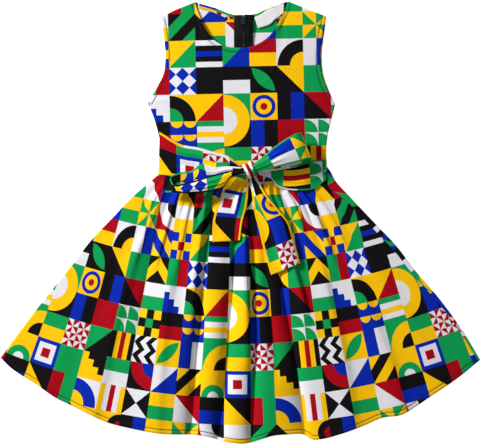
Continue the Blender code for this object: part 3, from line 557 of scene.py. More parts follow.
@dataclass(frozen=True)
class WaxPrintCotton:
    """Printed cotton: blocks of colour on a plain weave, softly crumpled, with pressed and sewn edges, and
    painted shade along the pressed seams and between the threads.
    """

    name: str = "wax print cotton"
    roughness: float = 0.8
    gloss: float = 0.06
    weave_pitch: float = 0.55
    weave_depth: float = 0.03
    crumple_depth: float = 0.5
    seam_at: float = 5.6
    seam_width: float = 1.3
    seam_depth: float = 0.35
    # Patches of paler dye, crumples and puckered stitches: how many times each varies in a metre.
    mottle_scale: float = 140.0
    crumple_scale: float = 38.0
    pucker_scale: float = 260.0

    def levels(self, x: Value, y: Value) -> list[Value]:
        """How each motif fills its cell: 0 for the ground, 1 for the figure and 2 for the accent.

        Args:
            x: place across the cell, from -0.5 to 0.5.
            y: place up it, from -0.5 to 0.5.

        Returns:
            One value for each motif, in the order of MOTIFS.
        """
        ax, ay = x.math("ABSOLUTE"), y.math("ABSOLUTE")
        far = ax.math("MAXIMUM", ay)
        thirds = (x * 3.0 + 1.5).math("FLOOR") + (y * 3.0 + 1.5).math("FLOOR")
        centre = (x * x + y * y).math("SQRT")
        low, side = y + 0.5, x + 0.5
        corner = (side * side + low * low).math("SQRT")
        other = ((side - 1.0) * (side - 1.0) + (low - 1.0) * (low - 1.0)).math("SQRT")
        base = (x * x + low * low).math("SQRT")
        crossed = (x * y).over(0.0)
        wheel = (crossed - ax.over(ay)).math("ABSOLUTE")
        stairs = (side * 4.0).math("FLOOR") + (low * 4.0).math("FLOOR")
        return [
            x * 0.0,
            y.over(0.0),
            (x + y).over(0.0),
            corner.under(0.96) + corner.under(0.5),
            ay.over(ax),
            wheel,
            centre.under(0.43) - centre.under(0.29) + centre.under(0.13) * 2.0,
            ((y + ax) * 2.0).odd(),
            (side * 5.0).odd() + ax.under(0.1) * 2.0,
            (ax.math("MINIMUM", ay)).under(0.16) + far.under(0.16),
            far.under(0.36) + far.under(0.17),
            thirds.odd() + far.under(1 / 6) * 2.0,
            corner.under(0.93) * other.under(0.93),
            base.under(0.47) + base.under(0.22),
            stairs.over(3.5),
            ((x + y) * 2.0).odd(),
        ]

    def pattern(self, nodes: Nodes, across: Value, along: Value) -> bpy.types.NodeSocket:
        """The print's colour at a place: the cell's token in the chart, its motif's level and the dye.

        Args:
            nodes: the material.
            across: place across the cloth, in cells.
            along: place along it, in cells.

        Returns:
            The colour's socket.
        """
        rows, columns = len(CHART), len(CHART[0])
        row = along.math("FLOOR")
        drop = (row / rows).math("FLOOR") * DROP
        column = (across.math("FLOOR") + drop).math("FLOORED_MODULO", columns)
        row = row.math("FLOORED_MODULO", rows)
        half = rows // 2
        upper = row.over(half - 0.5)
        at = (row - upper * half) * columns + column
        scale = max(len(MOTIFS), len(DYES))
        shapes, dyes = [], []
        for part in (CHART[:half], CHART[half:]):
            tokens = [token for line in part for token in line]
            form = [
                (MOTIF_AT[t[0].lower()] / scale, int(t[1]) / scale, float(t[0].isupper())) for t in tokens
            ]
            paint = [tuple(DYE_AT[letter] / scale for letter in t[2:]) for t in tokens]
            shapes.append(nodes.parts(nodes.table(at, form).outputs["Color"]))
            dyes.append(nodes.parts(nodes.table(at, paint).outputs["Color"]))
        picked = [[low + (high - low) * upper for low, high in zip(*pair)] for pair in (shapes, dyes)]
        motif, turns, doubled = picked[0][0] * scale, picked[0][1] * scale, picked[0][2]
        size = doubled + 1.0
        x = (across * size).math("FRACT") - 0.5
        y = (along * size).math("FRACT") - 0.5
        quarter = turns * (math.pi / 2)
        cos, sin = quarter.math("COSINE"), quarter.math("SINE")
        x, y = x * cos + y * sin, y * cos - x * sin
        level = x * 0.0
        for k, value in enumerate(self.levels(x, y)[1:], start=1):
            level = level + value * motif.is_near(k)
        ground, figure, accent = (channel * scale for channel in picked[1])
        dye = ground + (figure - ground) * level.over(0.5) + (accent - figure) * level.over(1.5)
        return nodes.table(dye, [dye_row.value[1] for dye_row in DYES]).outputs["Color"]

    def weave(self, across: Value, along: Value) -> Value:
        """A plain weave: rounded threads, over and under by turns, sin^2 across each thread.

        Args:
            across: place across the cloth, in cells.
            along: place along it, in cells.

        Returns:
            The height, from 0 to 1.
        """
        step = CELL / self.weave_pitch
        u, v = across * step, along * step
        over = (u.math("FLOOR") + v.math("FLOOR")).odd()
        warp = (u * math.pi).math("SINE").math("POWER", 2.0)
        weft = (v * math.pi).math("SINE").math("POWER", 2.0)
        return warp * over + weft * ((over * -1.0) + 1.0)

    def build(self) -> bpy.types.Material:
        """Makes the material.

        Returns:
            The printed cotton.
        """
        nodes = Nodes(self.name)
        across, along = nodes.printed_place()
        colour = self.pattern(nodes, across, along)
        weave = self.weave(across, along)
        mottle = nodes.noise(self.mottle_scale, 3.0)
        crumple = nodes.noise(self.crumple_scale, 4.0, 0.55)
        edge = nodes.carried(EDGE_FIELD) / MM
        seam = (((edge - self.seam_at) / self.seam_width).math("POWER", 2.0) * -1.0).math("EXPONENT")
        pucker = nodes.noise(self.pucker_scale, 1.0)
        # The pressed line along each sewn edge is a bump, and the colour is also painted darker along it:
        # painted shade in that recess.
        groove_and_painted_shade = seam * (pucker * 0.6 + 0.7)
        # The weave's height also makes the colour lighter on the threads' crowns and darker between them:
        # painted shade of the weave, beside the mottled dye.
        factor = mottle * 0.10 + 0.93 + weave * 0.04 - groove_and_painted_shade * 0.10
        values = {"Roughness": self.roughness, "Specular IOR Level": self.gloss}
        layers = (
            (weave, self.weave_depth),
            (crumple, self.crumple_depth),
            (groove_and_painted_shade * -1.0, self.seam_depth),
        )
        return nodes.finish(nodes.shade(colour, factor), values, layers)


@dataclass(frozen=True)
class WovenTape:
    """The zip's tape: black herringbone ribs."""

    name: str = "zip tape"
    colour: tuple[float, float, float] = (0.0055, 0.0055, 0.006)
    rib_pitch: float = 0.8
    band: float = 4.6
    depth: float = 0.12
    roughness: float = 0.7
    gloss: float = 0.1

    def build(self) -> bpy.types.Material:
        """Makes the material: fine ribs that lean to one side and the other in bands along the tape, with
        painted shade between the ribs.

        Returns:
            The tape.
        """
        nodes = Nodes(self.name)
        across, along = nodes.place()
        u, v = across * (CELL / self.band), along * (CELL / self.band)
        lean = (u.math("FRACT") - 0.5).math("ABSOLUTE")
        rib = ((v + lean) * (2 * math.pi * self.band / self.rib_pitch)).math("SINE") * 0.5 + 0.5
        # The rib's height also makes the colour lighter on the ribs and darker between them: painted shade
        # of the ribs, with random tone from noise.
        factor = rib * 0.5 + 0.75 + nodes.noise(300.0, 2.0) * 0.3
        values = {"Roughness": self.roughness, "Specular IOR Level": self.gloss}
        return nodes.finish(nodes.tint(self.colour, factor), values, ((rib, self.depth),))


@dataclass(frozen=True)
class SatinLabel:
    """A bare woven label: white satin with fine threads across it."""

    name: str = "label satin"
    colour: tuple[float, float, float] = (0.84, 0.83, 0.84)
    pitch: float = 0.4
    depth: float = 0.05
    roughness: float = 0.42
    sheen: float = 0.2

    def build(self) -> bpy.types.Material:
        """Makes the material: a sine across the threads, as a bump and as painted shade between them, with
        slight slubs.

        Returns:
            The label's weave.
        """
        nodes = Nodes(self.name)
        _, along = nodes.place()
        thread = (along * (2 * math.pi * CELL / self.pitch)).math("SINE") * 0.5 + 0.5
        # The threads' sine also makes the colour lighter on their crowns: painted shade between the
        # threads, with slubs from noise.
        factor = thread * 0.05 + 0.93 + nodes.noise(500.0, 2.0, 0.5, 0.1) * 0.05
        values = {"Roughness": self.roughness, "Sheen Weight": self.sheen}
        return nodes.finish(nodes.tint(self.colour, factor), values, ((thread, self.depth),))


@dataclass(frozen=True)
class EnamelledMetal:
    """The slider and its pull: black enamel on cast metal, worn thinner in fine specks."""

    name: str = "zip enamel"
    colour: tuple[float, float, float] = (0.030, 0.031, 0.031)
    bare: tuple[float, float, float] = (0.10, 0.10, 0.105)
    roughness: float = 0.32
    metallic: float = 0.6
    depth: float = 0.02
    worn_above: float = 0.62

    def build(self) -> bpy.types.Material:
        """Makes the material: enamel, with bare metal where fine noise is highest.

        Returns:
            The enamel.
        """
        nodes = Nodes(self.name)
        worn = (nodes.noise(700.0, 4.0) - self.worn_above) * 6.0
        mix = nodes.node("ShaderNodeMix", data_type="RGBA")
        mix.inputs[6].default_value = (*self.colour, 1.0)
        mix.inputs[7].default_value = (*self.bare, 1.0)
        held = worn.math("MAXIMUM", 0.0).math("MINIMUM", 1.0)
        nodes.tree.links.new(held.socket, mix.inputs[0])
        values = {"Roughness": self.roughness, "Metallic": self.metallic}
        return nodes.finish(mix.outputs[2], values, ((nodes.noise(1500.0, 2.0), self.depth),))


@dataclass(frozen=True)
class TwistedThread:
    """Sewing thread or zip coil: one colour with a fine twist."""

    name: str = "sewing thread"
    colour: tuple[float, float, float] = (0.014, 0.013, 0.018)
    roughness: float = 0.55
    gloss: float = 0.15
    depth: float = 0.05

    def build(self) -> bpy.types.Material:
        """Makes the material: the colour, painted lighter where the twist's bump rises and darker where it
        sinks, as painted shade of the twist.

        Returns:
            The thread.
        """
        nodes = Nodes(self.name)
        twist = nodes.noise(2500.0, 1.0)
        values = {"Roughness": self.roughness, "Specular IOR Level": self.gloss}
        # The twist's noise is both the bump and a factor on the colour: painted shade of the twist.
        return nodes.finish(nodes.tint(self.colour, twist * 0.8 + 0.6), values, ((twist, self.depth),))


def make_object(
    name: str,
    points: Array,
    faces: NDArray[np.int64],
    material: bpy.types.Material,
    cut: Array | None = None,
    edge: Array | None = None,
    strip: Array | None = None,
) -> bpy.types.Object:
    """A smooth-shaded mesh of four-sided faces, with its place on the cloth and its distances from edges.

    Args:
        name: the piece's name.
        points: (n, 3) points in millimetres.
        faces: (m, 4) numbers of points.
        material: its finish.
        cut: (n, 2) places on the cloth in millimetres.
        edge: (n,) distances in millimetres.
        strip: (n, 3) places of a band's turned strips on the cloth and distances inside their line.

    Returns:
        The object, at the origin.
    """
    mesh = bpy.data.meshes.new(name)
    mesh.vertices.add(len(points))
    mesh.vertices.foreach_set("co", (points * MM).astype(np.float32).ravel())
    mesh.loops.add(faces.size)
    mesh.loops.foreach_set("vertex_index", faces.astype(np.int32).ravel())
    mesh.polygons.add(len(faces))
    mesh.polygons.foreach_set("loop_start", np.arange(0, faces.size, 4, dtype=np.int32))
    mesh.polygons.foreach_set("use_smooth", np.ones(len(faces), bool))
    if cut is not None:
        layer = mesh.uv_layers.new(name=CUT_MAP)
        layer.data.foreach_set("uv", (cut[faces.ravel()] * MM).astype(np.float32).ravel())
    if strip is not None:
        layer = mesh.uv_layers.new(name=STRIP_MAP)
        layer.data.foreach_set("uv", (strip[faces.ravel(), :2] * MM).astype(np.float32).ravel())
    mesh.update(calc_edges=True)
    if edge is not None:
        near = (edge * MM).astype(np.float32)
        mesh.attributes.new(EDGE_FIELD, "FLOAT", "POINT").data.foreach_set("value", near)
    if strip is not None:
        inside = (strip[:, 2] * MM).astype(np.float32)
        mesh.attributes.new(TURN_FIELD, "FLOAT", "POINT").data.foreach_set("value", inside)
    mesh.validate()
    made = bpy.data.objects.new(name, mesh)
    bpy.context.scene.collection.objects.link(made)
    mesh.materials.append(material)
    return made


def grid_faces(rows: int, columns: int, first: int = 0, flip: bool = False) -> NDArray[np.int64]:
    """Four-sided faces of a grid of points.

    Args:
        rows: how many rows of points.
        columns: how many columns.
        first: the number of its first point.
        flip: whether they face the other way.

    Returns:
        (n, 4) numbers of points.
    """
    at = first + np.arange(rows * columns).reshape(rows, columns)
    faces = np.stack([at[:-1, :-1], at[:-1, 1:], at[1:, 1:], at[1:, :-1]], axis=-1).reshape(-1, 4)
    return faces[:, ::-1] if flip else faces


def around(rows: int, columns: int) -> NDArray[np.int64]:
    """The numbers of a grid's outer points, once round."""
    at = np.arange(rows * columns).reshape(rows, columns)
    return np.concatenate([at[0], at[1:, -1], at[-1, -2::-1], at[-2:0:-1, 0]])


@dataclass
class ClothPiece:
    """One panel of cloth: its wall, its place on the printed cloth and its sewn edges."""

    node: str
    slot: str
    lower: Array
    upper: Array
    cut: Array
    seams: list[Array] = field(default_factory=list)
    rim: float = 0.35
    strip: Array | None = None
    kind: str = "cloth"
    object: bpy.types.Object | None = None

    @property
    def name(self) -> str:
        """The piece's name: its solid's, and what it is made of."""
        return f"{self.node}_{self.kind}"

    @property
    def edge(self) -> Array:
        """Each point's distance in the plane from the nearest of its sewn edges.

        Returns:
            (rows, columns) distances, in millimetres.
        """
        found = np.full(self.lower.shape[:2], FAR)
        for line in self.seams:
            found = np.minimum(found, distance_to_line(self.upper[:, :, :2], line))
        return found

    def build(self, material: bpy.types.Material) -> bpy.types.Object:
        """Makes the closed wall: the lower and upper grids, and between their borders a rim that bulges out
        by the rim size at half its height, away from the neighbouring points inside.

        Args:
            material: its finish.

        Returns:
            The object, which rides on its body and replaces its solid.
        """
        rows, columns = self.lower.shape[:2]
        count = rows * columns
        ring = around(rows, columns)
        low, high = self.lower.reshape(-1, 3), self.upper.reshape(-1, 3)
        inner = np.clip(np.stack(np.unravel_index(ring, (rows, columns)), 1), 1, (rows - 2, columns - 2))
        inside = self.lower[inner[:, 0], inner[:, 1]]
        away = low[ring] - inside
        away /= np.maximum(np.linalg.norm(away, axis=1, keepdims=True), TINY)
        middle = (low[ring] + high[ring]) / 2 + away * self.rim
        faces = [grid_faces(rows, columns, 0, True), grid_faces(rows, columns, count)]
        mid = 2 * count + np.arange(len(ring))
        after = np.roll(ring, -1)
        mid_after = np.roll(mid, -1)
        faces.append(np.stack([ring, after, mid_after, mid], 1))
        faces.append(np.stack([mid, mid_after, after + count, ring + count], 1))
        cut, edge = self.cut.reshape(-1, 2), self.edge.ravel()
        strip = self.strip
        if strip is None:
            strip = np.dstack([self.cut, np.full(self.cut.shape[:2], FAR)])
        strip = strip.reshape(-1, 3)
        self.object = make_object(
            self.name,
            np.concatenate([low, high, middle]),
            np.concatenate(faces),
            material,
            np.concatenate([cut, cut, cut[ring]]),
            np.concatenate([edge, edge, edge[ring]]),
            np.concatenate([strip, strip, strip[ring]]),
        )
        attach(self.object, "dress")
        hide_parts(self.node)
        return self.object

    def area(self) -> float:
        """The upper side's surface.

        Returns:
            Its area, in square metres.
        """
        rising = self.upper[1:, 1:] - self.upper[:-1, :-1]
        falling = self.upper[1:, :-1] - self.upper[:-1, 1:]
        return float(np.linalg.norm(np.cross(rising, falling), axis=2).sum() / 2 * MM * MM)


STEEPEST = 0.55  # least upright part of a wall's normal that its thickness is taken from


def laid_wall(flat: Array, height: Array, thick: float) -> tuple[Array, Array]:
    """A wall over places in the plane: the lower side at the given heights, and the upper side above it by
    the thickness over the upright part of the normal, so that it is as thick as the cloth across its slope.

    Args:
        flat: rows of columns of (x, y).
        height: the lower side's height at each.
        thick: the cloth's thickness.

    Returns:
        The lower and the upper grid.
    """
    lower = np.dstack([flat, height])
    upper = lower.copy()
    upper[:, :, 2] += thick / np.clip(np.abs(normals_of(lower)[:, :, 2]), STEEPEST, 1.0)
    return lower, upper


class Relief:
    """The height of what lies on the surface, kept on a raster, for pieces that are laid over others."""

    PITCH = 2.5
    HALF = (360.0, 335.0)

    def __init__(self) -> None:
        """Starts with nothing on the surface."""
        self.shape = tuple(int(2 * half / self.PITCH) + 1 for half in self.HALF)
        self.height = np.zeros(self.shape)

    def lay(self, *pieces: ClothPiece) -> None:
        """Raises the raster to the highest point of each piece's upper and lower grids in every cell.

        Args:
            pieces: the pieces that are laid down.
        """
        for piece in pieces:
            for grid in (piece.lower, piece.upper):
                points = grid.reshape(-1, 3)
                at = np.rint((points[:, :2] + self.HALF) / self.PITCH).astype(int)
                np.maximum.at(self.height, (at[:, 0], at[:, 1]), points[:, 2])

    def under(self, flat: Array, reach: float, smoothing: int) -> Array:
        """Heights that a piece rests on: the highest cell within reach, then smoothed by the mean of the
        four neighbours as often as asked, never lower than it was, and read between cells bilinearly.

        Args:
            flat: (..., 2) places.
            reach: how far round each place to look.
            smoothing: how many times to smooth.

        Returns:
            One height for each place.
        """
        cells = int(math.ceil(reach / self.PITCH))
        top = self.height.copy()
        for dx in range(-cells, cells + 1):
            for dy in range(-cells, cells + 1):
                if math.hypot(dx, dy) * self.PITCH <= reach + 0.5:
                    top = np.maximum(top, np.roll(self.height, (dx, dy), (0, 1)))
        held = top.copy()
        for _ in range(smoothing):
            mean = sum(np.roll(held, step, axis) for axis in (0, 1) for step in (-1, 1)) / 4
            held = np.maximum(top, mean)
        for _ in range(3):
            held = (held * 2 + sum(np.roll(held, step, axis) for axis in (0, 1) for step in (-1, 1))) / 6
        where = (flat + self.HALF) / self.PITCH
        low = np.clip(np.floor(where).astype(int), 0, np.array(self.shape) - 2)
        fx, fy = np.moveaxis(where - low, -1, 0)
        i, j = low[..., 0], low[..., 1]
        first = held[i, j] * (1 - fx) + held[i + 1, j] * fx
        second = held[i, j + 1] * (1 - fx) + held[i + 1, j + 1] * fx
        return first * (1 - fy) + second * fy


def waist_line(shares: Array | Sequence[float], drop: float = 0.0) -> Array:
    """The waist seam from left to right.

    Args:
        shares: where along it, from 0 to 1.
        drop: how far down it is moved.

    Returns:
        (n, 2) points.
    """
    line = through(WAIST, shares)
    line[:, 1] -= drop
    return line


def scaled_share(edge: Rows, x: float) -> float:
    """The share of an edge's length at which it reaches x."""
    shares = np.linspace(0, 1, 400)
    return float(np.interp(x, through(edge, shares)[:, 0], shares))


@dataclass
class Bodice:
    """The sleeveless top: a one-piece front with a scooped neck over two flat backs."""

    puff: float = 3.4
    puff_power: float = 2.5
    shoulders_down_from: float = 0.72
    neck_rise_width: float = 0.12
    neck_points_at: tuple[float, float] = (0.2, 0.8)
    underarm_at: float = 0.45
    neck_end: float = 0.55
    columns: int = 121
    rows: int = 111
    back_columns: int = 61
    head_rise: float = 3.5
    head_rise_widths: tuple[float, float] = (4.0, 14.0)
    head_rise_between: tuple[float, float] = (262.0, 275.0)
    back_shows: float = 2.0
    back_shows_at: tuple[float, float, float, float] = (0.45, 0.6, 0.9, 1.0)
    turn_deg: float = 1.2
    # Where each panel lies on the printed cloth: how far it is moved across and along it.
    front_shift: tuple[float, float] = (21.0, 8.0)
    left_shift: tuple[float, float] = (133.0, 60.0)
    right_shift: tuple[float, float] = (-20.0, 96.0)
    # Soft drag lines. Columns: start across and up, end across and up, height, width.
    front_creases: Rows = (
        (0.04, 0.02, 0.42, 0.20, 0.7, 0.020), (0.05, 0.20, 0.30, 0.30, 0.5, 0.022),
        (0.60, 0.16, 0.97, 0.04, 0.7, 0.022), (0.66, 0.30, 0.95, 0.20, 0.5, 0.022),
        (0.03, 0.47, 0.24, 0.40, 0.6, 0.018), (0.76, 0.38, 0.97, 0.46, 0.6, 0.018),
        (0.30, 0.72, 0.50, 0.62, 0.4, 0.030), (0.56, 0.66, 0.74, 0.74, 0.4, 0.030),
    )

    def front(self) -> ClothPiece:
        """The front: a Coons patch between waist, sides and armholes, shoulders and neck, puffed by
        1 - |2u - 1|^power and brought down to the shoulder seams.

        Returns:
            The panel.
        """
        left_neck, right_neck = self.neck_points_at
        across = np.linspace(0, 1, self.columns)
        up = np.linspace(0, 1, self.rows)
        to_neck_end = np.clip(across / right_neck, 0, 1)
        neck = joined(SEAM_SHOULDER_LEFT, FRONT_NECK, left_neck / right_neck, to_neck_end)
        shoulder = through(SEAM_SHOULDER_RIGHT, np.clip((across - right_neck) / (1 - right_neck), 0, 1))
        top = np.where((across <= right_neck)[:, None], neck, shoulder)
        left = joined(SIDE_LEFT, ARMHOLE_LEFT, self.underarm_at, up)
        right = joined(SIDE_RIGHT, ARMHOLE_RIGHT, self.underarm_at, up)
        flat = patch(waist_line(across), top, left, right, across, up)
        u, v = np.meshgrid(across, up)
        puff = 1 - np.abs(2 * u - 1) ** self.puff_power
        kept = smoothstep(left_neck, left_neck + self.neck_rise_width, u)
        kept = kept * (1 - smoothstep(right_neck - self.neck_rise_width, right_neck, u))
        shoulders = (1 - kept) * smoothstep(self.shoulders_down_from, 1.0, v)
        soft = creases(u, v, self.front_creases) * smoothstep(0, 0.05, puff)
        lower, upper = laid_wall(flat, LAYER + self.puff * puff * (1 - shoulders) + soft, CLOTH)
        seams = [through(edge, EDGE_SAMPLES) for edge in (FRONT_NECK, ARMHOLE_LEFT, ARMHOLE_RIGHT)]
        cut = self.cut(flat, self.front_shift)
        return ClothPiece("bodice_front", "cotton_yellow", lower, upper, cut, seams)

    def cut(self, flat: Array, shift: tuple[float, float]) -> Array:
        """Places on the cloth: the plane, turned slightly about the origin and moved.

        Args:
            flat: places in the plane.
            shift: how far it is moved across the cloth and along it.

        Returns:
            The places on the cloth.
        """
        cos, sin = math.cos(math.radians(self.turn_deg)), math.sin(math.radians(self.turn_deg))
        x, y = flat[..., 0], flat[..., 1]
        return np.stack([x * cos + y * sin + shift[0], y * cos - x * sin + shift[1]], axis=-1)

    def back(self, side: str) -> ClothPiece:
        """One half of the back, flat on the surface but for the rise over the zip's head.

        Args:
            side: left or right.

        Returns:
            The panel.
        """
        from_zip = np.linspace(0, 1, self.back_columns)
        up = np.linspace(0, 1, self.rows)
        if side == "left":
            across = 1 - from_zip[::-1]
            waist = waist_line(across * scaled_share(WAIST, CENTRE_BACK - ZIP_SLOT))
            top = joined(SEAM_SHOULDER_LEFT, BACK_NECK_LEFT, 1 - self.neck_end, across)
            outer = joined(SIDE_LEFT, ARMHOLE_LEFT, self.underarm_at, up)
            left, right = outer, waist[-1] + up[:, None] * (top[-1] - waist[-1])
            slot, shift, edges = "cotton_green", self.left_shift, (BACK_NECK_LEFT, ARMHOLE_LEFT)
        else:
            across = from_zip
            start = scaled_share(WAIST, CENTRE_BACK + ZIP_SLOT)
            waist = waist_line(start + across * (1 - start))
            top = joined(BACK_NECK_RIGHT, SEAM_SHOULDER_RIGHT, self.neck_end, across)
            outer = joined(SIDE_RIGHT, ARMHOLE_RIGHT, self.underarm_at, up)
            start_at, full_at, end_at, ended_at = self.back_shows_at
            shown = smoothstep(start_at, full_at, up) * (1 - smoothstep(end_at, ended_at, up))
            outer[:, 0] += self.back_shows * shown
            left, right = waist[0] + up[:, None] * (top[0] - waist[0]), outer
            slot, shift, edges = "cotton_yellow", self.right_shift, (BACK_NECK_RIGHT, ARMHOLE_RIGHT)
        flat = patch(waist, top, left, right, across, up)
        beside = 1 - smoothstep(*self.head_rise_widths, np.abs(flat[:, :, 0] - CENTRE_BACK))
        height = self.head_rise * beside * smoothstep(*self.head_rise_between, flat[:, :, 1])
        lower, upper = laid_wall(flat, height, CLOTH)
        seams = [through(edge, EDGE_SAMPLES) for edge in edges]
        return ClothPiece(f"bodice_back_{side}", slot, lower, upper, self.cut(flat, shift), seams)


SKIRT_APEX = (0.0, 660.0)  # where the skirt's fold lines would meet
SKIRT_RADIUS = 985.0  # of the cloth's hem round that point


@dataclass
class Skirt:
    """The gathered skirt: a front with deep soft folds over two flat backs, one turned round the side."""

    columns: int = 385
    rows: int = 121
    lift_waist: float = 4.0
    lift_sides: float = 3.0
    lift_middle: float = 13.0
    lift_full: float = 0.7
    middle_at: float = 0.47
    middle_width: float = 0.2
    side_power: int = 4
    flare_power: float = 0.8
    valley_start: float = 0.06
    valley_end: float = 0.15
    valley_narrow: float = 0.45
    valley_soft: float = 1.5
    side_wrap: float = 2.3
    side_wrap_power: int = 8
    wrap_radius: float = 1.15
    wrap_least: float = 0.1
    wrap_steps: int = 9
    # Width of the back's strip that shows on the front. Columns: share down the right side, width.
    wrap_strip: Rows = (
        (0.0, 2.2), (0.04, 8.0), (0.08, 13.5), (0.12, 9.0), (0.17, 7.0), (0.4, 7.0), (1.0, 3.0),
    )
    # Small tucks beside the ridges that end high up: how far each lies from its ridge at the waist and at
    # the hem, the share down at which such a ridge ends at the latest, the share of the cloth that it takes
    # in, and its width.
    tuck_beside: tuple[float, float] = (4.5, 6.0)
    tuck_end: float = 0.6
    tuck_share: float = 0.8
    tuck_width: float = 2.6
    # The panels' places on the printed cloth, and the share of the hem's width that the backs' print has.
    front_shift: tuple[float, float] = (63.0, 17.0)
    back_shift: float = 30.0
    left_shift: float = 140.0
    right_shift: float = 75.0
    back_share: float = 0.9
    # Valleys between folds. Columns: x at the waist, x at the hem, where it starts and ends down the skirt,
    # depth as a share of the lift, half-width at the hem.
    valleys: Rows = (
        (-108.0, -245.0, 0.02, 0.28, 0.45, 10.0), (-84.0, -163.0, 0.02, 0.75, 0.70, 12.0),
        (-30.0, -72.0, 0.03, 1.10, 0.90, 11.0), (3.0, -33.0, 0.12, 1.10, 0.90, 11.0),
        (20.0, 15.0, 0.25, 1.10, 0.80, 9.0), (27.0, 56.0, 0.14, 0.84, 0.55, 13.0),
        (36.0, 94.0, 0.12, 1.10, 0.92, 11.0), (64.0, 139.0, 0.03, 0.42, 0.60, 9.0),
        (84.0, 176.0, 0.08, 0.44, 0.55, 9.0), (97.0, 215.0, 0.08, 0.62, 0.62, 12.0),
        (111.0, 268.0, 0.04, 0.50, 0.50, 10.0),
    )
    # Ridges that the solids leave to the cloth. Columns: x at the waist, x at the hem, start, end, height,
    # half-width at the hem, and how much narrower their right side falls.
    ridges: Rows = (
        (-114.0, -300.0, -0.05, 0.20, 1.6, 16.0, 0.5), (-101.0, -228.0, -0.05, 0.30, 2.4, 15.0, 0.35),
        (-94.0, -205.0, -0.05, 0.46, 2.4, 14.0, 0.4), (-77.0, -150.0, -0.05, 0.44, 3.4, 12.0, 0.3),
        (-68.0, -128.0, -0.05, 0.24, 2.0, 13.0, 0.4), (-58.0, -112.0, -0.05, 0.52, 2.4, 13.0, 0.35),
        (-47.0, -92.0, -0.05, 0.30, 2.2, 12.0, 0.35), (-37.0, -80.0, -0.05, 0.70, 5.2, 14.0, 0.22),
        (-21.0, -58.0, -0.05, 0.30, 2.0, 11.0, 0.5), (-6.0, -16.0, 0.30, 0.74, 1.8, 5.0, 0.6),
        (10.0, 12.0, 0.10, 0.80, 4.6, 13.0, 0.3), (28.0, 44.0, -0.05, 0.34, 1.6, 11.0, 0.5),
        (45.0, 143.0, 0.02, 0.62, 4.8, 14.0, 0.22), (56.0, 126.0, -0.05, 0.30, 2.2, 11.0, 0.35),
        (72.0, 156.0, -0.05, 0.34, 2.4, 12.0, 0.3), (80.0, 182.0, -0.05, 0.26, 2.2, 10.0, 0.35),
        (91.0, 196.0, -0.05, 0.44, 3.2, 12.0, 0.3), (104.0, 240.0, -0.05, 0.44, 2.0, 12.0, 0.4),
        (118.0, 300.0, -0.05, 0.24, 1.3, 14.0, 0.5), (-105.0, -282.0, 0.24, 1.20, 2.2, 28.0, 0.5),
        (-92.0, -214.0, 0.34, 1.20, 3.2, 24.0, 0.4), (-62.0, -122.0, 0.40, 1.20, 2.6, 22.0, 0.4),
        (78.0, 162.0, 0.40, 1.20, 3.0, 22.0, 0.4), (99.0, 236.0, 0.46, 1.20, 3.4, 24.0, 0.4),
        (112.0, 292.0, 0.40, 1.20, 2.2, 24.0, 0.5),
    )

    def lines(self, rows: Rows, down: Array) -> Array:
        """Shares of the front's width at each fold line: from its share at the waist to that at the hem, by
        the share down raised to the flare's power.

        Args:
            rows: a table whose first two columns are x at the waist and x at the hem.
            down: shares down the skirt.

        Returns:
            One row for each share down and one column for each line.
        """
        top = np.array([scaled_share(WAIST, row[0]) for row in rows])
        low = np.array([scaled_share(FRONT_HEM, row[1]) for row in rows])
        return top + (low - top) * down[:, None] ** self.flare_power

    def shown(self, start: float, end: float, down: Array) -> Array:
        """How far a valley is there at each share down: a smooth rise at its start, a fall at its end."""
        rise = smoothstep(start - self.valley_start, start + self.valley_start, down)
        return rise * (1 - smoothstep(end - self.valley_end, end, down))

    def front_height(self, shares: Array, down: Array, width: Array) -> Array:
        """The front's lower side: a low swell, times 1 - depth * exp(-distance / half-width) for every
        valley, with the distance rounded at the bottom, plus the ridges, each a bell across its own line.

        Args:
            shares: shares across.
            down: shares down.
            width: the front's width at each share down.

        Returns:
            Heights, one row for each share down.
        """
        u, v = shares[None], down[:, None]
        edge = 1 - np.abs(2 * u - 1) ** self.side_power
        swell = self.lift_middle * np.exp(-(((u - self.middle_at) / self.middle_width) ** 2))
        hem_lift = self.lift_sides + swell
        lift = self.lift_waist + (hem_lift - self.lift_waist) * smoothstep(0.0, self.lift_full, v)
        kept = np.ones(np.broadcast(u, v).shape)
        at = self.lines(self.valleys, down)
        widening = self.valley_narrow + (1 - self.valley_narrow) * v
        for k, (_, _, start, end, depth, half_width) in enumerate(self.valleys):
            away = (u - at[:, k : k + 1]) * width[:, None]
            reach = half_width * widening
            soft = np.sqrt(away**2 + self.valley_soft**2) - self.valley_soft
            kept = kept * (1 - depth * self.shown(start, end, v) * np.exp(-soft / reach))
        raised = np.zeros_like(kept)
        at = self.lines(self.ridges, down)
        for k, (_, _, start, end, height, half_width, steep) in enumerate(self.ridges):
            away = (u - at[:, k : k + 1]) * width[:, None]
            reach = half_width * widening * np.where(away > 0, steep, 1.0)
            raised = raised + height * self.shown(start, end, v) * np.exp(-((away / reach) ** 2))
        rest = LAYER + (self.side_wrap - LAYER) * u**self.side_wrap_power
        return rest + edge * (lift * kept + raised)

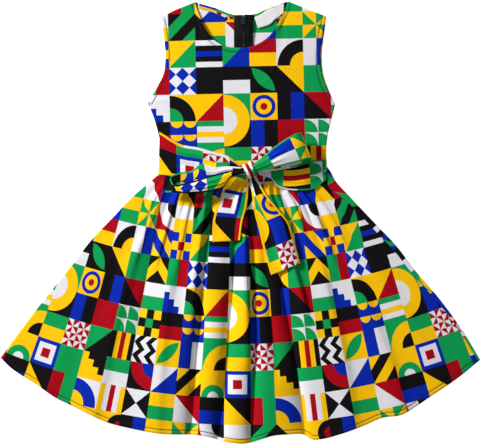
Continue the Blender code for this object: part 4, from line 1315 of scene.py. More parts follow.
    def front_cut(self, flat: Array, shares: Array, down: Array) -> Array:
        """Places on the cloth in polar form about the apex. Along the cloth it is the radius. Across it is
        the radius times the angle, so the print keeps its size, plus the cloth that the gathers hide, which
        is the difference of the hem's radius and this one over each angle. The hidden cloth of the stretch
        round each valley is taken in by a narrow bell at the valley, as far as that valley is there.

        Args:
            flat: places in the plane.
            shares: shares across.
            down: shares down.

        Returns:
            The places on the cloth.
        """
        x, y = flat[..., 0] - SKIRT_APEX[0], SKIRT_APEX[1] - flat[..., 1]
        angle = np.arctan2(x, y)
        radius = np.hypot(x, y)
        tucks = [(*row[:4], 1.0) for row in self.valleys]
        by_waist, by_hem = self.tuck_beside
        tucks += [
            (waist + by_waist, hem + by_hem, start, end, self.tuck_share)
            for waist, hem, start, end, *_ in self.ridges
            if end < self.tuck_end
        ]
        tucks.sort()
        at = self.lines(tucks, down)
        sides = np.zeros((len(down), 1))
        bounds = np.concatenate([sides, (at[:, 1:] + at[:, :-1]) / 2, sides + 1], axis=1)
        step = np.gradient(angle, axis=1)
        density = np.zeros_like(angle)
        span = np.linalg.norm(flat[:, -1] - flat[:, 0], axis=1)[:, None]
        for k, (_, _, start, end, share) in enumerate(tucks):
            inside = (shares[None] >= bounds[:, k : k + 1]) & (shares[None] < bounds[:, k + 1 : k + 2])
            bell = np.exp(-(((shares[None] - at[:, k : k + 1]) * span / self.tuck_width) ** 2))
            total = (step * inside).sum(1, keepdims=True)
            there = share * self.shown(start, end, down)[:, None]
            bell = bell * total / np.maximum(bell.sum(1, keepdims=True), TINY)
            density += there * bell + (1 - there) * step * inside
        hidden = np.cumsum(density, axis=1) - density / 2
        hidden = hidden + angle[:, :1] - hidden[:, :1]
        across = radius * angle + (SKIRT_RADIUS - radius) * hidden
        return np.stack([across + self.front_shift[0], -radius + self.front_shift[1]], axis=-1)

    def wrap_width(self, down: Array) -> Array:
        """Width of the back's strip on the front, down the right side."""
        share, width = np.array(self.wrap_strip).T
        return np.interp(down, share, width)

    def front(self) -> ClothPiece:
        """The front, from the waist seam down to the hem.

        Returns:
            The panel.
        """
        down = np.linspace(0, 1, self.rows)
        shares = np.linspace(0, 1, self.columns)
        left = through(SKIRT_LEFT, down)
        right = through(SKIRT_RIGHT, down)
        right = right - outward(right, 1) * (self.wrap_width(down)[:, None] + SEAM)
        waist = waist_line(shares, SEAM)
        left[0] = waist[0]
        waist = waist + np.outer(shares, right[0] - waist[-1])
        hem = through(FRONT_HEM, shares)
        hem = hem + np.outer(shares**8, right[-1] - hem[-1])
        flat = patch(waist, hem, left, right, shares, down)
        width = np.linalg.norm(flat[:, -1] - flat[:, 0], axis=1)
        height = self.front_height(shares, down, width)
        lower, upper = laid_wall(flat[::-1], height[::-1], CLOTH)
        cut = self.front_cut(flat, shares, down)[::-1]
        return ClothPiece("skirt_front", "cotton_green", lower, upper, cut, [hem])

    def back_cut(self, flat: Array, shift: float) -> Array:
        """The backs' places on the cloth: polar about the apex, at the print's own size at the hem.

        Args:
            flat: the grid's plane places.
            shift: how far sideways the panel's cut is moved on the cloth.

        Returns:
            The grid's places on the cloth.
        """
        x, y = flat[..., 0] - SKIRT_APEX[0], SKIRT_APEX[1] - flat[..., 1]
        across = np.arctan2(x, y) * SKIRT_RADIUS * self.back_share + shift
        return np.stack([across, -np.hypot(x, y) + self.back_shift], axis=-1)

    def back_left(self) -> ClothPiece:
        """The left back, flat on the surface.

        Returns:
            The panel.
        """
        across, up = np.linspace(0, 1, 61), np.linspace(0, 1, 81)
        waist = waist_line(across * scaled_share(WAIST, CENTRE_BACK - SEAM / 2), SEAM)
        hem = through(BACK_HEM, across * scaled_share(BACK_HEM, CENTRE_BACK - SEAM / 2))
        left = through(SKIRT_LEFT, 1 - up)
        left[-1] = waist[0]
        seam = hem[-1] + np.outer(up, waist[-1] - hem[-1])
        flat = patch(hem, waist, left, seam, across, up)
        lower, upper = laid_wall(flat, np.zeros(flat.shape[:2]), CLOTH)
        cut = self.back_cut(flat, self.left_shift)
        return ClothPiece("skirt_back_left", "cotton_blue", lower, upper, cut, [hem, seam])

    def back_right(self) -> ClothPiece:
        """The right back, which turns round the side in a half circle and comes back over the front.

        Returns:
            The panel.
        """
        across, up = np.linspace(0, 1, 61), np.linspace(0, 1, 131)
        start = scaled_share(WAIST, CENTRE_BACK + SEAM / 2)
        hem_start = scaled_share(BACK_HEM, CENTRE_BACK + SEAM / 2)
        waist = waist_line(start + across * (1 - start), SEAM)
        hem = through(BACK_HEM, hem_start + across * (1 - hem_start))
        out = through(SKIRT_RIGHT, 1 - up)
        out[-1] = waist[-1]
        away = outward(out, -1)
        turn = self.wrap_radius + CLOTH / 2
        edge = out - away * turn
        seam = hem[0] + np.outer(up, waist[0] - hem[0])
        waist = waist + np.outer(across, edge[-1] - waist[-1])
        hem = hem + np.outer(across, edge[0] - hem[-1])
        flat = patch(hem, waist, seam, edge, across, up)
        cut = [self.back_cut(flat, self.right_shift)]
        strips = [np.dstack([flat, np.full(flat.shape[:2], CLOTH / 2)])]
        for angle in np.linspace(0, math.pi, self.wrap_steps)[1:]:
            reach = edge + away * self.wrap_radius * math.sin(angle)
            rise = CLOTH / 2 + self.wrap_radius * (1 - math.cos(angle))
            strips.append(np.dstack([reach[:, None], np.full((len(up), 1), rise)]))
            cut.append(cut[0][:, -1:] + (self.wrap_radius * angle, 0.0))
        width = np.maximum(self.wrap_width(1 - up) - turn, self.wrap_least)
        top = CLOTH / 2 + 2 * self.wrap_radius
        for share in np.linspace(0, 1, self.wrap_steps)[1:]:
            back = edge - away * share * width[:, None]
            strips.append(np.dstack([back[:, None], np.full((len(up), 1), top)]))
            moved = np.stack([self.wrap_radius * math.pi + share * width, 0 * width], axis=-1)
            cut.append(cut[0][:, -1:] + moved[:, None])
        middle = np.concatenate(strips, axis=1)
        normal = normals_of(middle) * CLOTH / 2
        return ClothPiece(
            "skirt_back_right", "cotton_red", middle - normal, middle + normal, np.concatenate(cut, axis=1),
            [hem, seam],
        )


STRIP_RUN = 0.3  # share of a band's length by which the print on its turned strips runs


def band_cut(
    grid: Array, start: tuple[float, float], turned: float, strip: tuple[float, float]
) -> tuple[Array, Array]:
    """Places on the cloth of a band: arc length along its rows, measured up the middle column, and arc
    length across each row from its middle. Within the turned width of either edge another part of the print
    shows, because the cloth there was turned over from the other side, and it runs by at a share of the
    length.

    Args:
        grid: rows along the band and columns across it.
        start: where on the cloth the band's middle starts.
        turned: width of the turned strips.
        strip: where on the cloth the strips start.

    Returns:
        The band's places, and the strips' places with the distances inside their line.
    """
    lengths = along_rows(grid, 0)
    widths = along_rows(grid, 1)
    middle = grid.shape[1] // 2
    run = lengths[:, middle : middle + 1] + 0 * widths
    offset = widths - widths[:, middle : middle + 1]
    near = np.minimum(widths, widths[:, -1:] - widths)
    own = np.stack([offset + start[0], run + start[1]], axis=-1)
    return own, np.stack([near + strip[0], run * STRIP_RUN + strip[1], near - turned], axis=-1)


@dataclass
class SashBand:
    """One band of the sash, from its side seam to the knot, pleated towards the knot."""

    side: str
    slot: str
    upper_edge: Rows
    lower_edge: Rows
    folds: Rows
    shift: tuple[float, float]
    strip: tuple[float, float]
    turned: float = 2.6
    columns: int = 121
    rows: int = 61
    pleats: int = 3
    pleat_height: float = 1.6
    pleats_from: tuple[float, float] = (0.1, 0.9)
    reach: float = 6.0

    def build(self, below: Relief) -> ClothPiece:
        """Lays the band on what is below: rows of straight lines between its two edges, at the height below
        plus pleats, which are (1 - cos) waves across it that grow towards the knot, plus the uneven folds.

        Args:
            below: what it lies on.

        Returns:
            The band.
        """
        along = np.linspace(0, 1, self.columns)
        over = np.linspace(0, 1, self.rows)
        top, low = through(self.upper_edge, along), through(self.lower_edge, along)
        flat = low[None] + over[:, None, None] * (top - low)[None]
        rest = below.under(flat, self.reach, 8) + SEAM
        wave = (1 - np.cos(2 * np.pi * self.pleats * over))[:, None] / 2
        pleats = self.pleat_height * smoothstep(*self.pleats_from, along)[None] * wave
        soft = creases(along[None], over[:, None], self.folds)
        height = rest + np.maximum(pleats + soft, 0.0)
        if self.side == "right":
            flat, height = flat[:, ::-1], height[:, ::-1]
        lower, upper = laid_wall(flat, height, CLOTH)
        cut, strip = band_cut(np.swapaxes(upper, 0, 1), self.shift, self.turned, self.strip)
        cut, strip = np.swapaxes(cut, 0, 1), np.swapaxes(strip, 0, 1)
        return ClothPiece(f"sash_{self.side}", self.slot, lower, upper, cut, strip=strip)


@dataclass
class BowTail:
    """A tail of the bow, from under the knot down over the skirt's folds."""

    side: str
    slot: str
    left_edge: Rows
    right_edge: Rows
    folds: Rows
    shift: tuple[float, float]
    strip: tuple[float, float]
    turned: float = 2.6
    rows: int = 101
    columns: int = 61
    fold: float = 3.0
    fold_full: float = 0.3
    fold_lost: float = 0.6
    flattens: float = 0.4
    reach: float = 6.0

    def build(self, below: Relief) -> ClothPiece:
        """Lays the tail on what is below, arched across its width by fold * sin^2, with uneven folds on it.

        Args:
            below: what it lies on.

        Returns:
            The tail.
        """
        down = np.linspace(1, 0, self.rows)
        across = np.linspace(0, 1, self.columns)
        a, b = through(self.left_edge, down), through(self.right_edge, down)
        flat = a[:, None] + across[None, :, None] * (b - a)[:, None]
        rest = below.under(flat, self.reach, 10) + SEAM
        kept = 1 - self.fold_lost * smoothstep(self.flattens, 1.0, down)
        kept = kept * smoothstep(0.0, self.fold_full, down)
        arch = self.fold * np.sin(np.pi * across)[None] ** 2 * kept[:, None]
        soft = creases(down[:, None], across[None], self.folds)
        lower, upper = laid_wall(flat, rest + np.maximum(arch + soft, 0.0), CLOTH)
        cut, strip = band_cut(upper, self.shift, self.turned, self.strip)
        return ClothPiece(f"bow_tail_{self.side}", self.slot, lower, upper, cut, strip=strip)


@dataclass
class BowLoop:
    """A loop of the bow: a band of cloth that runs out from the knot, turns and comes back."""

    side: str
    slot: str
    sections: Rows
    folds: Rows
    shift: tuple[float, float]
    strip: tuple[float, float]
    turned: float = 2.6
    # Where an edge is turned over further: share of the way round the loop, spread, extra width.
    flap: tuple[float, float, float] = (0.0, 1.0, 0.0)
    rows: int = 161
    columns: int = 49
    reach: float = 4.0

    def build(self, below: Relief) -> ClothPiece:
        """Carries a straight line across the band through the table of sections, bends it by arch * (1 -
        w^2) along its normal, adds the folds along the normal, and keeps it clear of what is below.

        Args:
            below: what it lies on.

        Returns:
            The loop.
        """
        run = np.linspace(0, 1, self.rows)
        table = through(self.sections, run)
        w = np.linspace(-1, 1, self.columns)
        turn = np.radians(table[:, 4])
        across = np.stack([np.cos(turn), np.sin(turn), np.zeros(self.rows)], axis=1)
        middle = table[:, None, :3] + across[:, None] * (w[None] * table[:, 3:4])[:, :, None]
        bend = table[:, 5:6] * (1 - w[None] ** 2)
        bend = bend + creases(run[:, None], w[None], self.folds)
        middle = middle + normals_of(middle) * bend[:, :, None]
        rest = below.under(middle[:, :, :2], self.reach, 4) + SEAM + CLOTH
        middle[:, :, 2] = np.maximum(middle[:, :, 2], rest)
        normal = normals_of(middle) * CLOTH / 2
        lower, upper = middle - normal, middle + normal
        cut, strip = band_cut(middle, self.shift, self.turned, self.strip)
        at, spread, extra = self.flap
        strip[:, self.columns // 2 :, 2] -= (extra * np.exp(-(((run - at) / spread) ** 2)))[:, None]
        return ClothPiece(f"bow_loop_{self.side}", self.slot, lower, upper, cut, strip=strip)


@dataclass
class BowKnot:
    """The strap wound once round the necks of the loops."""

    centre: tuple[float, float, float] = (13.0, 75.5, 21.8)
    axis_deg: float = 27.0
    radii: tuple[float, float] = (10.8, 8.2)
    wall: float = 2.0
    half_length: float = 6.5
    flare: float = 1.12
    around: int = 96
    along: int = 33
    # Creases round the strap. Columns: share along it, lean with each turn, height, width.
    creases: Rows = (
        (-0.66, 0.10, 0.7, 0.16), (-0.18, -0.10, 1.1, 0.26),
        (0.34, 0.10, -1.6, 0.12), (0.74, -0.06, 1.0, 0.20),
    )
    # The pleat, where the print steps by a cell: share along the strap, and lean with each turn.
    pleat: tuple[float, float] = (0.34, 0.10)
    sunk: float = 0.6
    # Its place on the printed cloth, and how much wider the strap is when it is spread.
    shift: tuple[float, float] = (136.5, 4.0)
    spread: float = 1.6

    def build(self) -> ClothPiece:
        """An oval ring: at angle a and share s along it, radii * (1 + (flare - 1) s^2) in the directions of
        cos a and sin a, with soft creases round it that lean by the sine of the angle.

        Returns:
            The knot's outer surface and its inner one.
        """
        turn = math.radians(self.axis_deg)
        axis = np.array([math.cos(turn), math.sin(turn), 0.0])
        side = np.array([-math.sin(turn), math.cos(turn), 0.0])
        angle = np.linspace(0, 2 * math.pi, self.around + 1)[:, None]
        s = np.linspace(-1, 1, self.along)[None]
        flare = 1 + (self.flare - 1) * s * s
        raised = np.zeros((self.around + 1, self.along))
        for at, lean, height, width in self.creases:
            raised = raised + height * np.exp(-(((s - at - lean * np.sin(angle)) / width) ** 2))
        layers = []
        for shrink in (self.wall, 0.0):
            extra = raised - self.sunk if shrink == 0.0 else 0 * raised
            reach = (self.radii[0] * flare - shrink + extra) * np.cos(angle)
            rise = (self.radii[1] * flare - shrink + extra) * np.sin(angle)
            layer = np.array(self.centre) + (s * self.half_length)[..., None] * axis
            layer = layer + reach[..., None] * side
            layer[..., 2] += rise
            layers.append(layer)
        inner, outer = layers
        run = along_rows(outer, 0)[:, self.along // 2][:, None] + 0 * s
        at, lean = self.pleat
        beyond = s > at + lean * np.sin(angle)
        across = 0 * run + s * self.half_length * self.spread + self.shift[0]
        cut = np.stack([across, run + self.shift[1] + CELL * beyond], axis=-1)
        return ClothPiece("bow_knot", "cotton_green", inner, outer, cut)

    def mesh(self, material: bpy.types.Material) -> bpy.types.Object:
        """The closed ring: its outer and inner faces, and the two ends between them.

        Args:
            material: its finish.

        Returns:
            The object.
        """
        piece = self.build()
        count = piece.lower.shape[0] * piece.lower.shape[1]
        rows, columns = piece.lower.shape[:2]
        first = np.arange(0, count - columns, columns)
        nexts = first + columns
        last, last_next = first + columns - 1, nexts + columns - 1
        faces = [grid_faces(rows, columns, 0, False), grid_faces(rows, columns, count, True)]
        faces.append(np.stack([first, nexts, nexts + count, first + count], 1))
        faces.append(np.stack([last_next, last, last + count, last_next + count], 1))
        points = np.concatenate([piece.lower.reshape(-1, 3), piece.upper.reshape(-1, 3)])
        cut = np.concatenate([piece.cut.reshape(-1, 2)] * 2)
        free = np.full(2 * count, FAR)
        strip = np.concatenate([cut, free[:, None]], axis=1)
        made = make_object(piece.name, points, np.concatenate(faces), material, cut, free, strip)
        weld(made)
        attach(made, "dress")
        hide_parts(piece.node)
        return made


def weld(obj: bpy.types.Object) -> None:
    """Merges a mesh's doubled points and turns its faces outwards.

    Args:
        obj: the object.
    """
    made = bmesh.new()
    made.from_mesh(obj.data)
    bmesh.ops.remove_doubles(made, verts=made.verts, dist=1e-6)
    bmesh.ops.recalc_face_normals(made, faces=made.faces)
    made.to_mesh(obj.data)
    made.free()
    obj.data.update()


@dataclass
class NeckTrim:
    """The turned bands inside the back neck, and the bare label."""

    width: float = 6.5
    thick: float = 1.0
    inset: float = 0.4
    tape_width: float = 13.8
    left_span: tuple[float, float] = (0.1, 0.82)
    right_span: tuple[float, float] = (0.2, 0.9)
    tape_gap: float = 0.7
    label_thick: float = 0.7
    label_cockle: float = 0.35
    label_size: tuple[float, float] = (45.0, 20.0)
    # Where the bands' cloth lies on the print: across for either side, and along for both.
    left_shift: float = 14.0
    right_shift: float = 120.0
    shift_along: float = 75.0
    label_top: Rows = ((20.2, 297.4), (28.6, 301.0), (37.6, 307.2), (49.5, 312.2), (63.0, 316.8))
    label_low: Rows = (
        (25.6, 281.9), (33.5, 283.9), (43.8, 288.3), (49.5, 294.5), (58.0, 300.6), (62.4, 304.4),
    )

    def facing(self, side: str) -> ClothPiece:
        """One band: the neck's edge moved inwards by the inset and by shares of the width.

        Args:
            side: left or right.

        Returns:
            The band.
        """
        left = side == "left"
        neck, span = (BACK_NECK_LEFT, self.left_span) if left else (BACK_NECK_RIGHT, self.right_span)
        edge = through(neck, np.linspace(*span, 65))
        clear = self.tape_width + SEAM + self.tape_gap
        edge = edge[np.abs(edge[:, 0] - CENTRE_BACK) > clear]
        inward = -outward(edge, 1)
        shares = np.linspace(1.0, 0.0, 9)
        flat = np.stack([edge + inward * (self.inset + self.width * share) for share in shares])
        lower, upper = laid_wall(flat, np.full(flat.shape[:2], LAYER), self.thick)
        run = along_rows(lower, 1) + (self.left_shift if left else self.right_shift)
        cut = np.stack([run, self.width * shares[:, None] + 0 * run + self.shift_along], axis=-1)
        seams = [through(neck, EDGE_SAMPLES)]
        return ClothPiece(f"neck_facing_{side}", "cotton_yellow", lower, upper, cut, seams, 0.2)

    def label(self) -> ClothPiece:
        """The label: a Coons patch between its two long edges, slightly cockled between its stitched ends.

        Returns:
            The label.
        """
        across, up = np.linspace(0, 1, 49), np.linspace(0, 1, 25)
        low, top = through(self.label_low, across), through(self.label_top, across)
        left = low[0] + np.outer(up, top[0] - low[0])
        right = low[-1] + np.outer(up, top[-1] - low[-1])
        flat = patch(low, top, left, right, across, up)
        u, v = np.meshgrid(across, up)
        wave = 1 + np.sin(9.0 * u + 2.0 * v)
        cockle = self.label_cockle * np.sin(np.pi * u) ** 2 * wave * (0.3 + v)
        lower, upper = laid_wall(flat, LAYER + self.thick + SEAM + cockle, self.label_thick)
        cut = np.stack([u, v], axis=-1) * self.label_size
        return ClothPiece("neck_label", "label", lower, upper, cut, [], 0.15, kind="satin")


@dataclass
class Zip:
    """The tapes, the coil and the stops of the centre-back zip."""

    width: float = 13.8
    thick: float = 1.0
    top: float = 300.5
    end: float = 25.0
    slot: float = 0.15
    coil_pitch: float = 1.3
    coil_from: float = 27.0
    coil_to: float = 287.6
    tooth_outer: float = 2.1
    tooth_inner: float = 0.7
    tooth_rise: float = 0.05
    tooth_radii: tuple[float, float] = (0.33, 0.5)
    stop_at: float = 1.2
    stop_span: tuple[float, float] = (298.0, 300.4)
    stop_radii: tuple[float, float] = (0.85, 0.7)

    def tape(self, side: str, below: Relief) -> ClothPiece:
        """One tape, on the inside of its half of the back.

        Args:
            side: left or right.
            below: what it lies on.

        Returns:
            The tape.
        """
        across = np.linspace(self.slot, self.width, 27)
        x = CENTRE_BACK + (-across[::-1] if side == "left" else across)
        flat = np.dstack(np.meshgrid(x, np.linspace(self.end, self.top, 139)))
        height = below.under(flat, 3.0, 2) + SEAM
        lower, upper = laid_wall(flat, height, self.thick)
        return ClothPiece(f"zip_tape_{side}", "zip_tape", lower, upper, flat, [], 0.05, kind="woven")

    def teeth(self, height: float) -> Array:
        """The coil's teeth: short bars across the slot, by turns from the left tape and from the right one,
        half a pitch apart.

        Args:
            height: of the tapes' upper side.

        Returns:
            (n, 2, 3) ends of the bars.
        """
        y = np.arange(self.coil_from, self.coil_to, self.coil_pitch / 2)
        side = np.where(np.arange(len(y)) % 2 == 0, -1.0, 1.0)
        outer = CENTRE_BACK + side * self.tooth_outer
        inner = CENTRE_BACK - side * self.tooth_inner
        level = np.full(len(y), height + self.tooth_rise)
        return np.stack([np.stack([outer, y, level], 1), np.stack([inner, y, level], 1)], axis=1)

    def stops(self, height: float) -> Array:
        """The two small top stops, clamped round the tapes' edges above the slider.

        Args:
            height: of the tapes' upper side.

        Returns:
            (2, 2, 3) ends of the bars.
        """
        level = height + self.tooth_rise
        x = np.array([CENTRE_BACK - self.stop_at, CENTRE_BACK + self.stop_at])
        low, high = (np.stack([x, np.full(2, y), np.full(2, level)], 1) for y in self.stop_span)
        return np.stack([low, high], axis=1)


RINGS = 5  # rings of points along a small rod, such as a tooth or a stitch


def rods(
    name: str, points: Array, cap: Sequence[tuple[int, ...]], material: bpy.types.Material
) -> bpy.types.Object:
    """Many small rods in one mesh: four-sided faces between each rod's rings and over both its ends.

    Args:
        name: the piece's name.
        points: (rods, rings, points of a ring, 3) places.
        cap: faces over a rod's first end. Those over its last end are the same, the other way round.
        material: their finish.

    Returns:
        The object, which rides on the dress.
    """
    count, _, sides = points.shape[:3]
    j = np.arange(sides)
    after = (j + 1) % sides
    walls = [np.stack([j, after, after + sides, j + sides], 1) + k * sides for k in range(RINGS - 1)]
    ends = np.array(cap)
    one = np.concatenate([*walls, ends, ends[:, ::-1] + (RINGS - 1) * sides])
    faces = (one[None] + RINGS * sides * np.arange(count)[:, None, None]).reshape(-1, 4)
    made = make_object(name, points.reshape(-1, 3), faces, material)
    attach(made, "dress")
    return made


def bars(
    name: str, ends: Array, radii: tuple[float, float], material: bpy.types.Material
) -> bpy.types.Object:
    """Rounded bars between pairs of points: five rings of eight points, whose radii are times the square
    root of 1 - 0.96 s^6 with s from -1 to 1 along the bar, closed at both ends.

    Args:
        name: the piece's name.
        ends: (n, 2, 3) ends of the bars, level with each other.
        radii: half the width and half the height.
        material: their finish.

    Returns:
        The object, which rides on the dress.
    """
    s = np.array([-1.0, -0.86, 0.0, 0.86, 1.0])[:, None]
    a = (np.arange(8) * math.pi / 4)[None]
    thin = np.sqrt(1 - 0.96 * s**6)
    centre, half = ends.mean(axis=1), (ends[:, 1] - ends[:, 0]) / 2
    along = half / np.linalg.norm(half, axis=1, keepdims=True)
    aside = np.stack([-along[:, 1], along[:, 0], 0 * along[:, 0]], axis=1)
    wide, tall = radii[0] * thin * np.cos(a), radii[1] * thin * np.sin(a)
    points = centre[:, None, None] + (s + 0 * a)[None, :, :, None] * half[:, None, None]
    points = points + wide[None, :, :, None] * aside[:, None, None]
    points[..., 2] += tall[None]
    return rods(name, points, ((3, 2, 1, 0), (4, 3, 0, 7), (5, 4, 7, 6)), material)


@dataclass
class Topstitch:
    """Machine stitches in a row: small rounded bars of thread, sunk at both ends."""

    length: float = 2.6
    gap: float = 0.5
    inset: float = 5.6
    hem_inset: float = 6.0
    half_width: float = 0.6
    rise: float = 0.36
    narrowing: float = 0.75
    middle_rise: float = 0.35
    end_drop: float = 0.9

    def along(self, line: Array) -> tuple[Array, Array, Array, Array]:
        """Centres and directions of the stitches: the line at every stitch and gap, by linear reading of
        its arc length.

        Args:
            line: (n, 6) points with their surface normals.

        Returns:
            Centres, directions along, directions across and normals.
        """
        at = np.concatenate([[0.0], np.cumsum(np.linalg.norm(np.diff(line[:, :3], axis=0), axis=1))])
        where = np.arange(self.length, at[-1] - self.length, self.length + self.gap)

        def read(places: Array) -> Array:
            """The line's values at some arc lengths."""
            return np.stack([np.interp(places, at, line[:, k]) for k in range(6)], axis=1)

        centre = read(where)
        tangent = read(where + 0.5)[:, :3] - read(where - 0.5)[:, :3]
        tangent /= np.linalg.norm(tangent, axis=1, keepdims=True)
        normal = centre[:, 3:] / np.linalg.norm(centre[:, 3:], axis=1, keepdims=True)
        return centre[:, :3], tangent, np.cross(normal, tangent), normal

    def mesh(self, name: str, lines: Sequence[Array], material: bpy.types.Material) -> bpy.types.Object:
        """One mesh of all stitches along some lines: each is five rings of six points, narrow and sunk at
        the ends, with both ends closed.

        Args:
            name: the piece's name.
            lines: lines of points with normals.
            material: the thread.

        Returns:
            The object, which rides on the dress.
        """
        parts = zip(*(self.along(line) for line in lines))
        centre, tangent, across, normal = (np.concatenate(part) for part in parts)
        s = np.linspace(-1, 1, 5)[:, None]
        a = (np.arange(6) * math.pi / 3)[None]
        thin = 1 - self.narrowing * s**4
        x = s * self.length / 2 + 0 * a
        y = self.half_width * thin * np.cos(a)
        z = self.rise * thin * np.sin(a) + self.rise * (self.middle_rise - self.end_drop * s**4)
        points = (
            centre[:, None, None]
            + x[None, :, :, None] * tangent[:, None, None]
            + y[None, :, :, None] * across[:, None, None]
            + z[None, :, :, None] * normal[:, None, None]
        )
        return rods(name, points, ((3, 2, 1, 0), (5, 4, 3, 0)), material)


def on_surface(piece: ClothPiece, line: Array) -> Array:
    """Puts places in the plane on a piece's upper side: the height of the nearest grid point, carried along
    that point's tangent plane.

    Args:
        piece: the piece.
        line: (n, 2) places.

    Returns:
        (n, 6) points with the surface's normals.
    """
    points, normals = piece.upper.reshape(-1, 3), normals_of(piece.upper).reshape(-1, 3)
    nearest = np.array([((points[:, :2] - place) ** 2).sum(1).argmin() for place in line])
    base, normal = points[nearest], normals[nearest]
    away = ((line - base[:, :2]) * normal[:, :2]).sum(1)
    height = base[:, 2] - away / np.maximum(normal[:, 2], 0.3)
    return np.concatenate([line, height[:, None], normal], axis=1)


def inset_line(edge: Array, distance: float, sign: float) -> Array:
    """An edge's line moved by a distance to the left of its direction, or to the right where sign is -1."""
    return edge + outward(edge, sign) * distance


@dataclass
class Studio:
    """A white floor, soft light from the upper left and a camera straight above."""

    frame_mm: tuple[float, float] = (697.45, 645.25)
    distance: float = 6.0
    sensor: float = 36.0
    floor_side: float = 12.0
    floor_drop: float = 0.4
    floor_glow: float = 0.8
    sky: float = 0.21

    def floor(self) -> None:
        """Lays the floor: a white sheet that glows faintly, so that no hard shadow shows."""
        half = self.floor_side / 2 / MM
        corners = ((-half, -half), (half, -half), (half, half), (-half, half))
        points = np.array([(x, y, -self.floor_drop) for x, y in corners])
        nodes = Nodes("white floor")
        nodes.shader.inputs["Base Color"].default_value = (0.92, 0.92, 0.92, 1.0)
        nodes.shader.inputs["Roughness"].default_value = 1.0
        nodes.shader.inputs["Emission Color"].default_value = (1.0, 1.0, 1.0, 1.0)
        nodes.shader.inputs["Emission Strength"].default_value = self.floor_glow
        made = make_object("studio_floor", points, np.array([[0, 1, 2, 3]]), nodes.material)

    def light(self, name: str, place: tuple[float, float, float], side: float, power: float) -> None:
        """A square soft light that faces the dress.

        Args:
            name: its name.
            place: where it hangs, in metres.
            side: its side, in metres.
            power: its power in watts.
        """
        data = bpy.data.lights.new(name, "AREA")
        data.shape, data.size, data.energy = "SQUARE", side, power
        made = bpy.data.objects.new(name, data)
        made.location = place
        made.rotation_euler = Vector(place).to_track_quat("Z", "Y").to_euler()
        bpy.context.scene.collection.objects.link(made)

    def build(self) -> None:
        """Makes the floor, the lights, the camera and the plain view transform."""
        self.floor()
        self.light("key", (-2.75, 1.75, 1.7), 0.65, 196.0)
        self.light("fill", (1.8, -1.2, 3.6), 3.0, 12.0)
        scene = bpy.context.scene
        world = bpy.data.worlds.new("studio")
        world.use_nodes = True
        background = world.node_tree.nodes["Background"]
        background.inputs["Color"].default_value = (1.0, 1.0, 1.0, 1.0)
        background.inputs["Strength"].default_value = self.sky
        scene.world = world
        scene.view_settings.view_transform = "Standard"
        data = bpy.data.cameras.new("camera")
        data.sensor_width = self.sensor
        data.lens = self.sensor * self.distance / (self.frame_mm[0] * MM)
        made = bpy.data.objects.new("camera", data)
        made.location = (0.0, 0.0, self.distance)
        scene.collection.objects.link(made)
        scene.camera = made


SASH_LEFT = SashBand(
    "left",
    "cotton_blue",
    ((-117.0, 131.0), (-85.0, 112.5), (-62.5, 108.5), (-36.0, 101.0), (-20.0, 96.5), (0.0, 83.0)),
    ((-118.5, 70.0), (-95.0, 67.0), (-58.5, 61.5), (-27.0, 61.5), (0.0, 71.0)),
    (
        (0.02, 0.82, 0.98, 0.70, 1.4, 0.07), (0.10, 0.55, 0.96, 0.46, 1.2, 0.08),
        (0.16, 0.28, 0.98, 0.22, 1.1, 0.07), (0.45, 0.66, 0.98, 0.58, 1.0, 0.05),
    ),
    (31.0, 12.0),
    (198.0, 281.0),
    3.4,
)
SASH_RIGHT = SashBand(
    "right",
    "cotton_white",
    ((123.5, 91.0), (103.5, 89.0), (79.0, 82.0), (50.0, 78.0), (26.5, 82.0)),
    ((124.0, 62.0), (106.5, 49.0), (86.0, 46.5), (64.5, 48.5), (52.0, 53.5), (45.0, 63.0), (26.5, 69.5)),
    (
        (0.04, 0.70, 0.96, 0.62, 1.2, 0.09), (0.12, 0.36, 0.96, 0.34, 1.0, 0.08),
        (0.40, 0.52, 0.98, 0.48, 0.9, 0.05),
    ),
    (136.5, 40.0),
    (119.0, 41.0),
    2.0,
)
TAIL_LEFT = BowTail(
    "left",
    "cotton_red",
    ((3.5, 78.0), (-9.0, 70.0), (-18.4, 57.6), (-26.0, 45.5), (-31.5, 29.5), (-38.5, 7.0), (-41.0, -28.0)),
    ((9.0, 76.0), (10.8, 61.3), (10.7, 41.9), (7.8, 20.5), (3.2, 4.5), (-1.0, -25.5)),
    (
        (-0.05, 0.30, 0.42, 0.26, 1.4, 0.09), (-0.05, 0.62, 0.60, 0.66, 1.6, 0.08),
        (0.0, 0.46, 0.30, 0.46, 1.0, 0.06),
    ),
    (27.0, 4.0),
    (119.0, 2.0),
)
TAIL_RIGHT = BowTail(
    "right",
    "cotton_blue",
    ((12.0, 72.0), (16.5, 43.0), (21.0, 12.0), (25.5, -4.5), (32.5, -34.0), (44.5, -76.0)),
    ((18.5, 74.0), (35.5, 43.0), (56.5, 16.0), (68.5, 1.5), (77.0, -25.0), (86.0, -59.0)),
    (
        (-0.05, 0.36, 0.55, 0.30, 1.6, 0.09), (-0.05, 0.66, 0.45, 0.70, 1.4, 0.08),
        (0.30, 0.52, 0.95, 0.48, 0.9, 0.10),
    ),
    (44.0, 80.0),
    (119.0, 2.0),
)
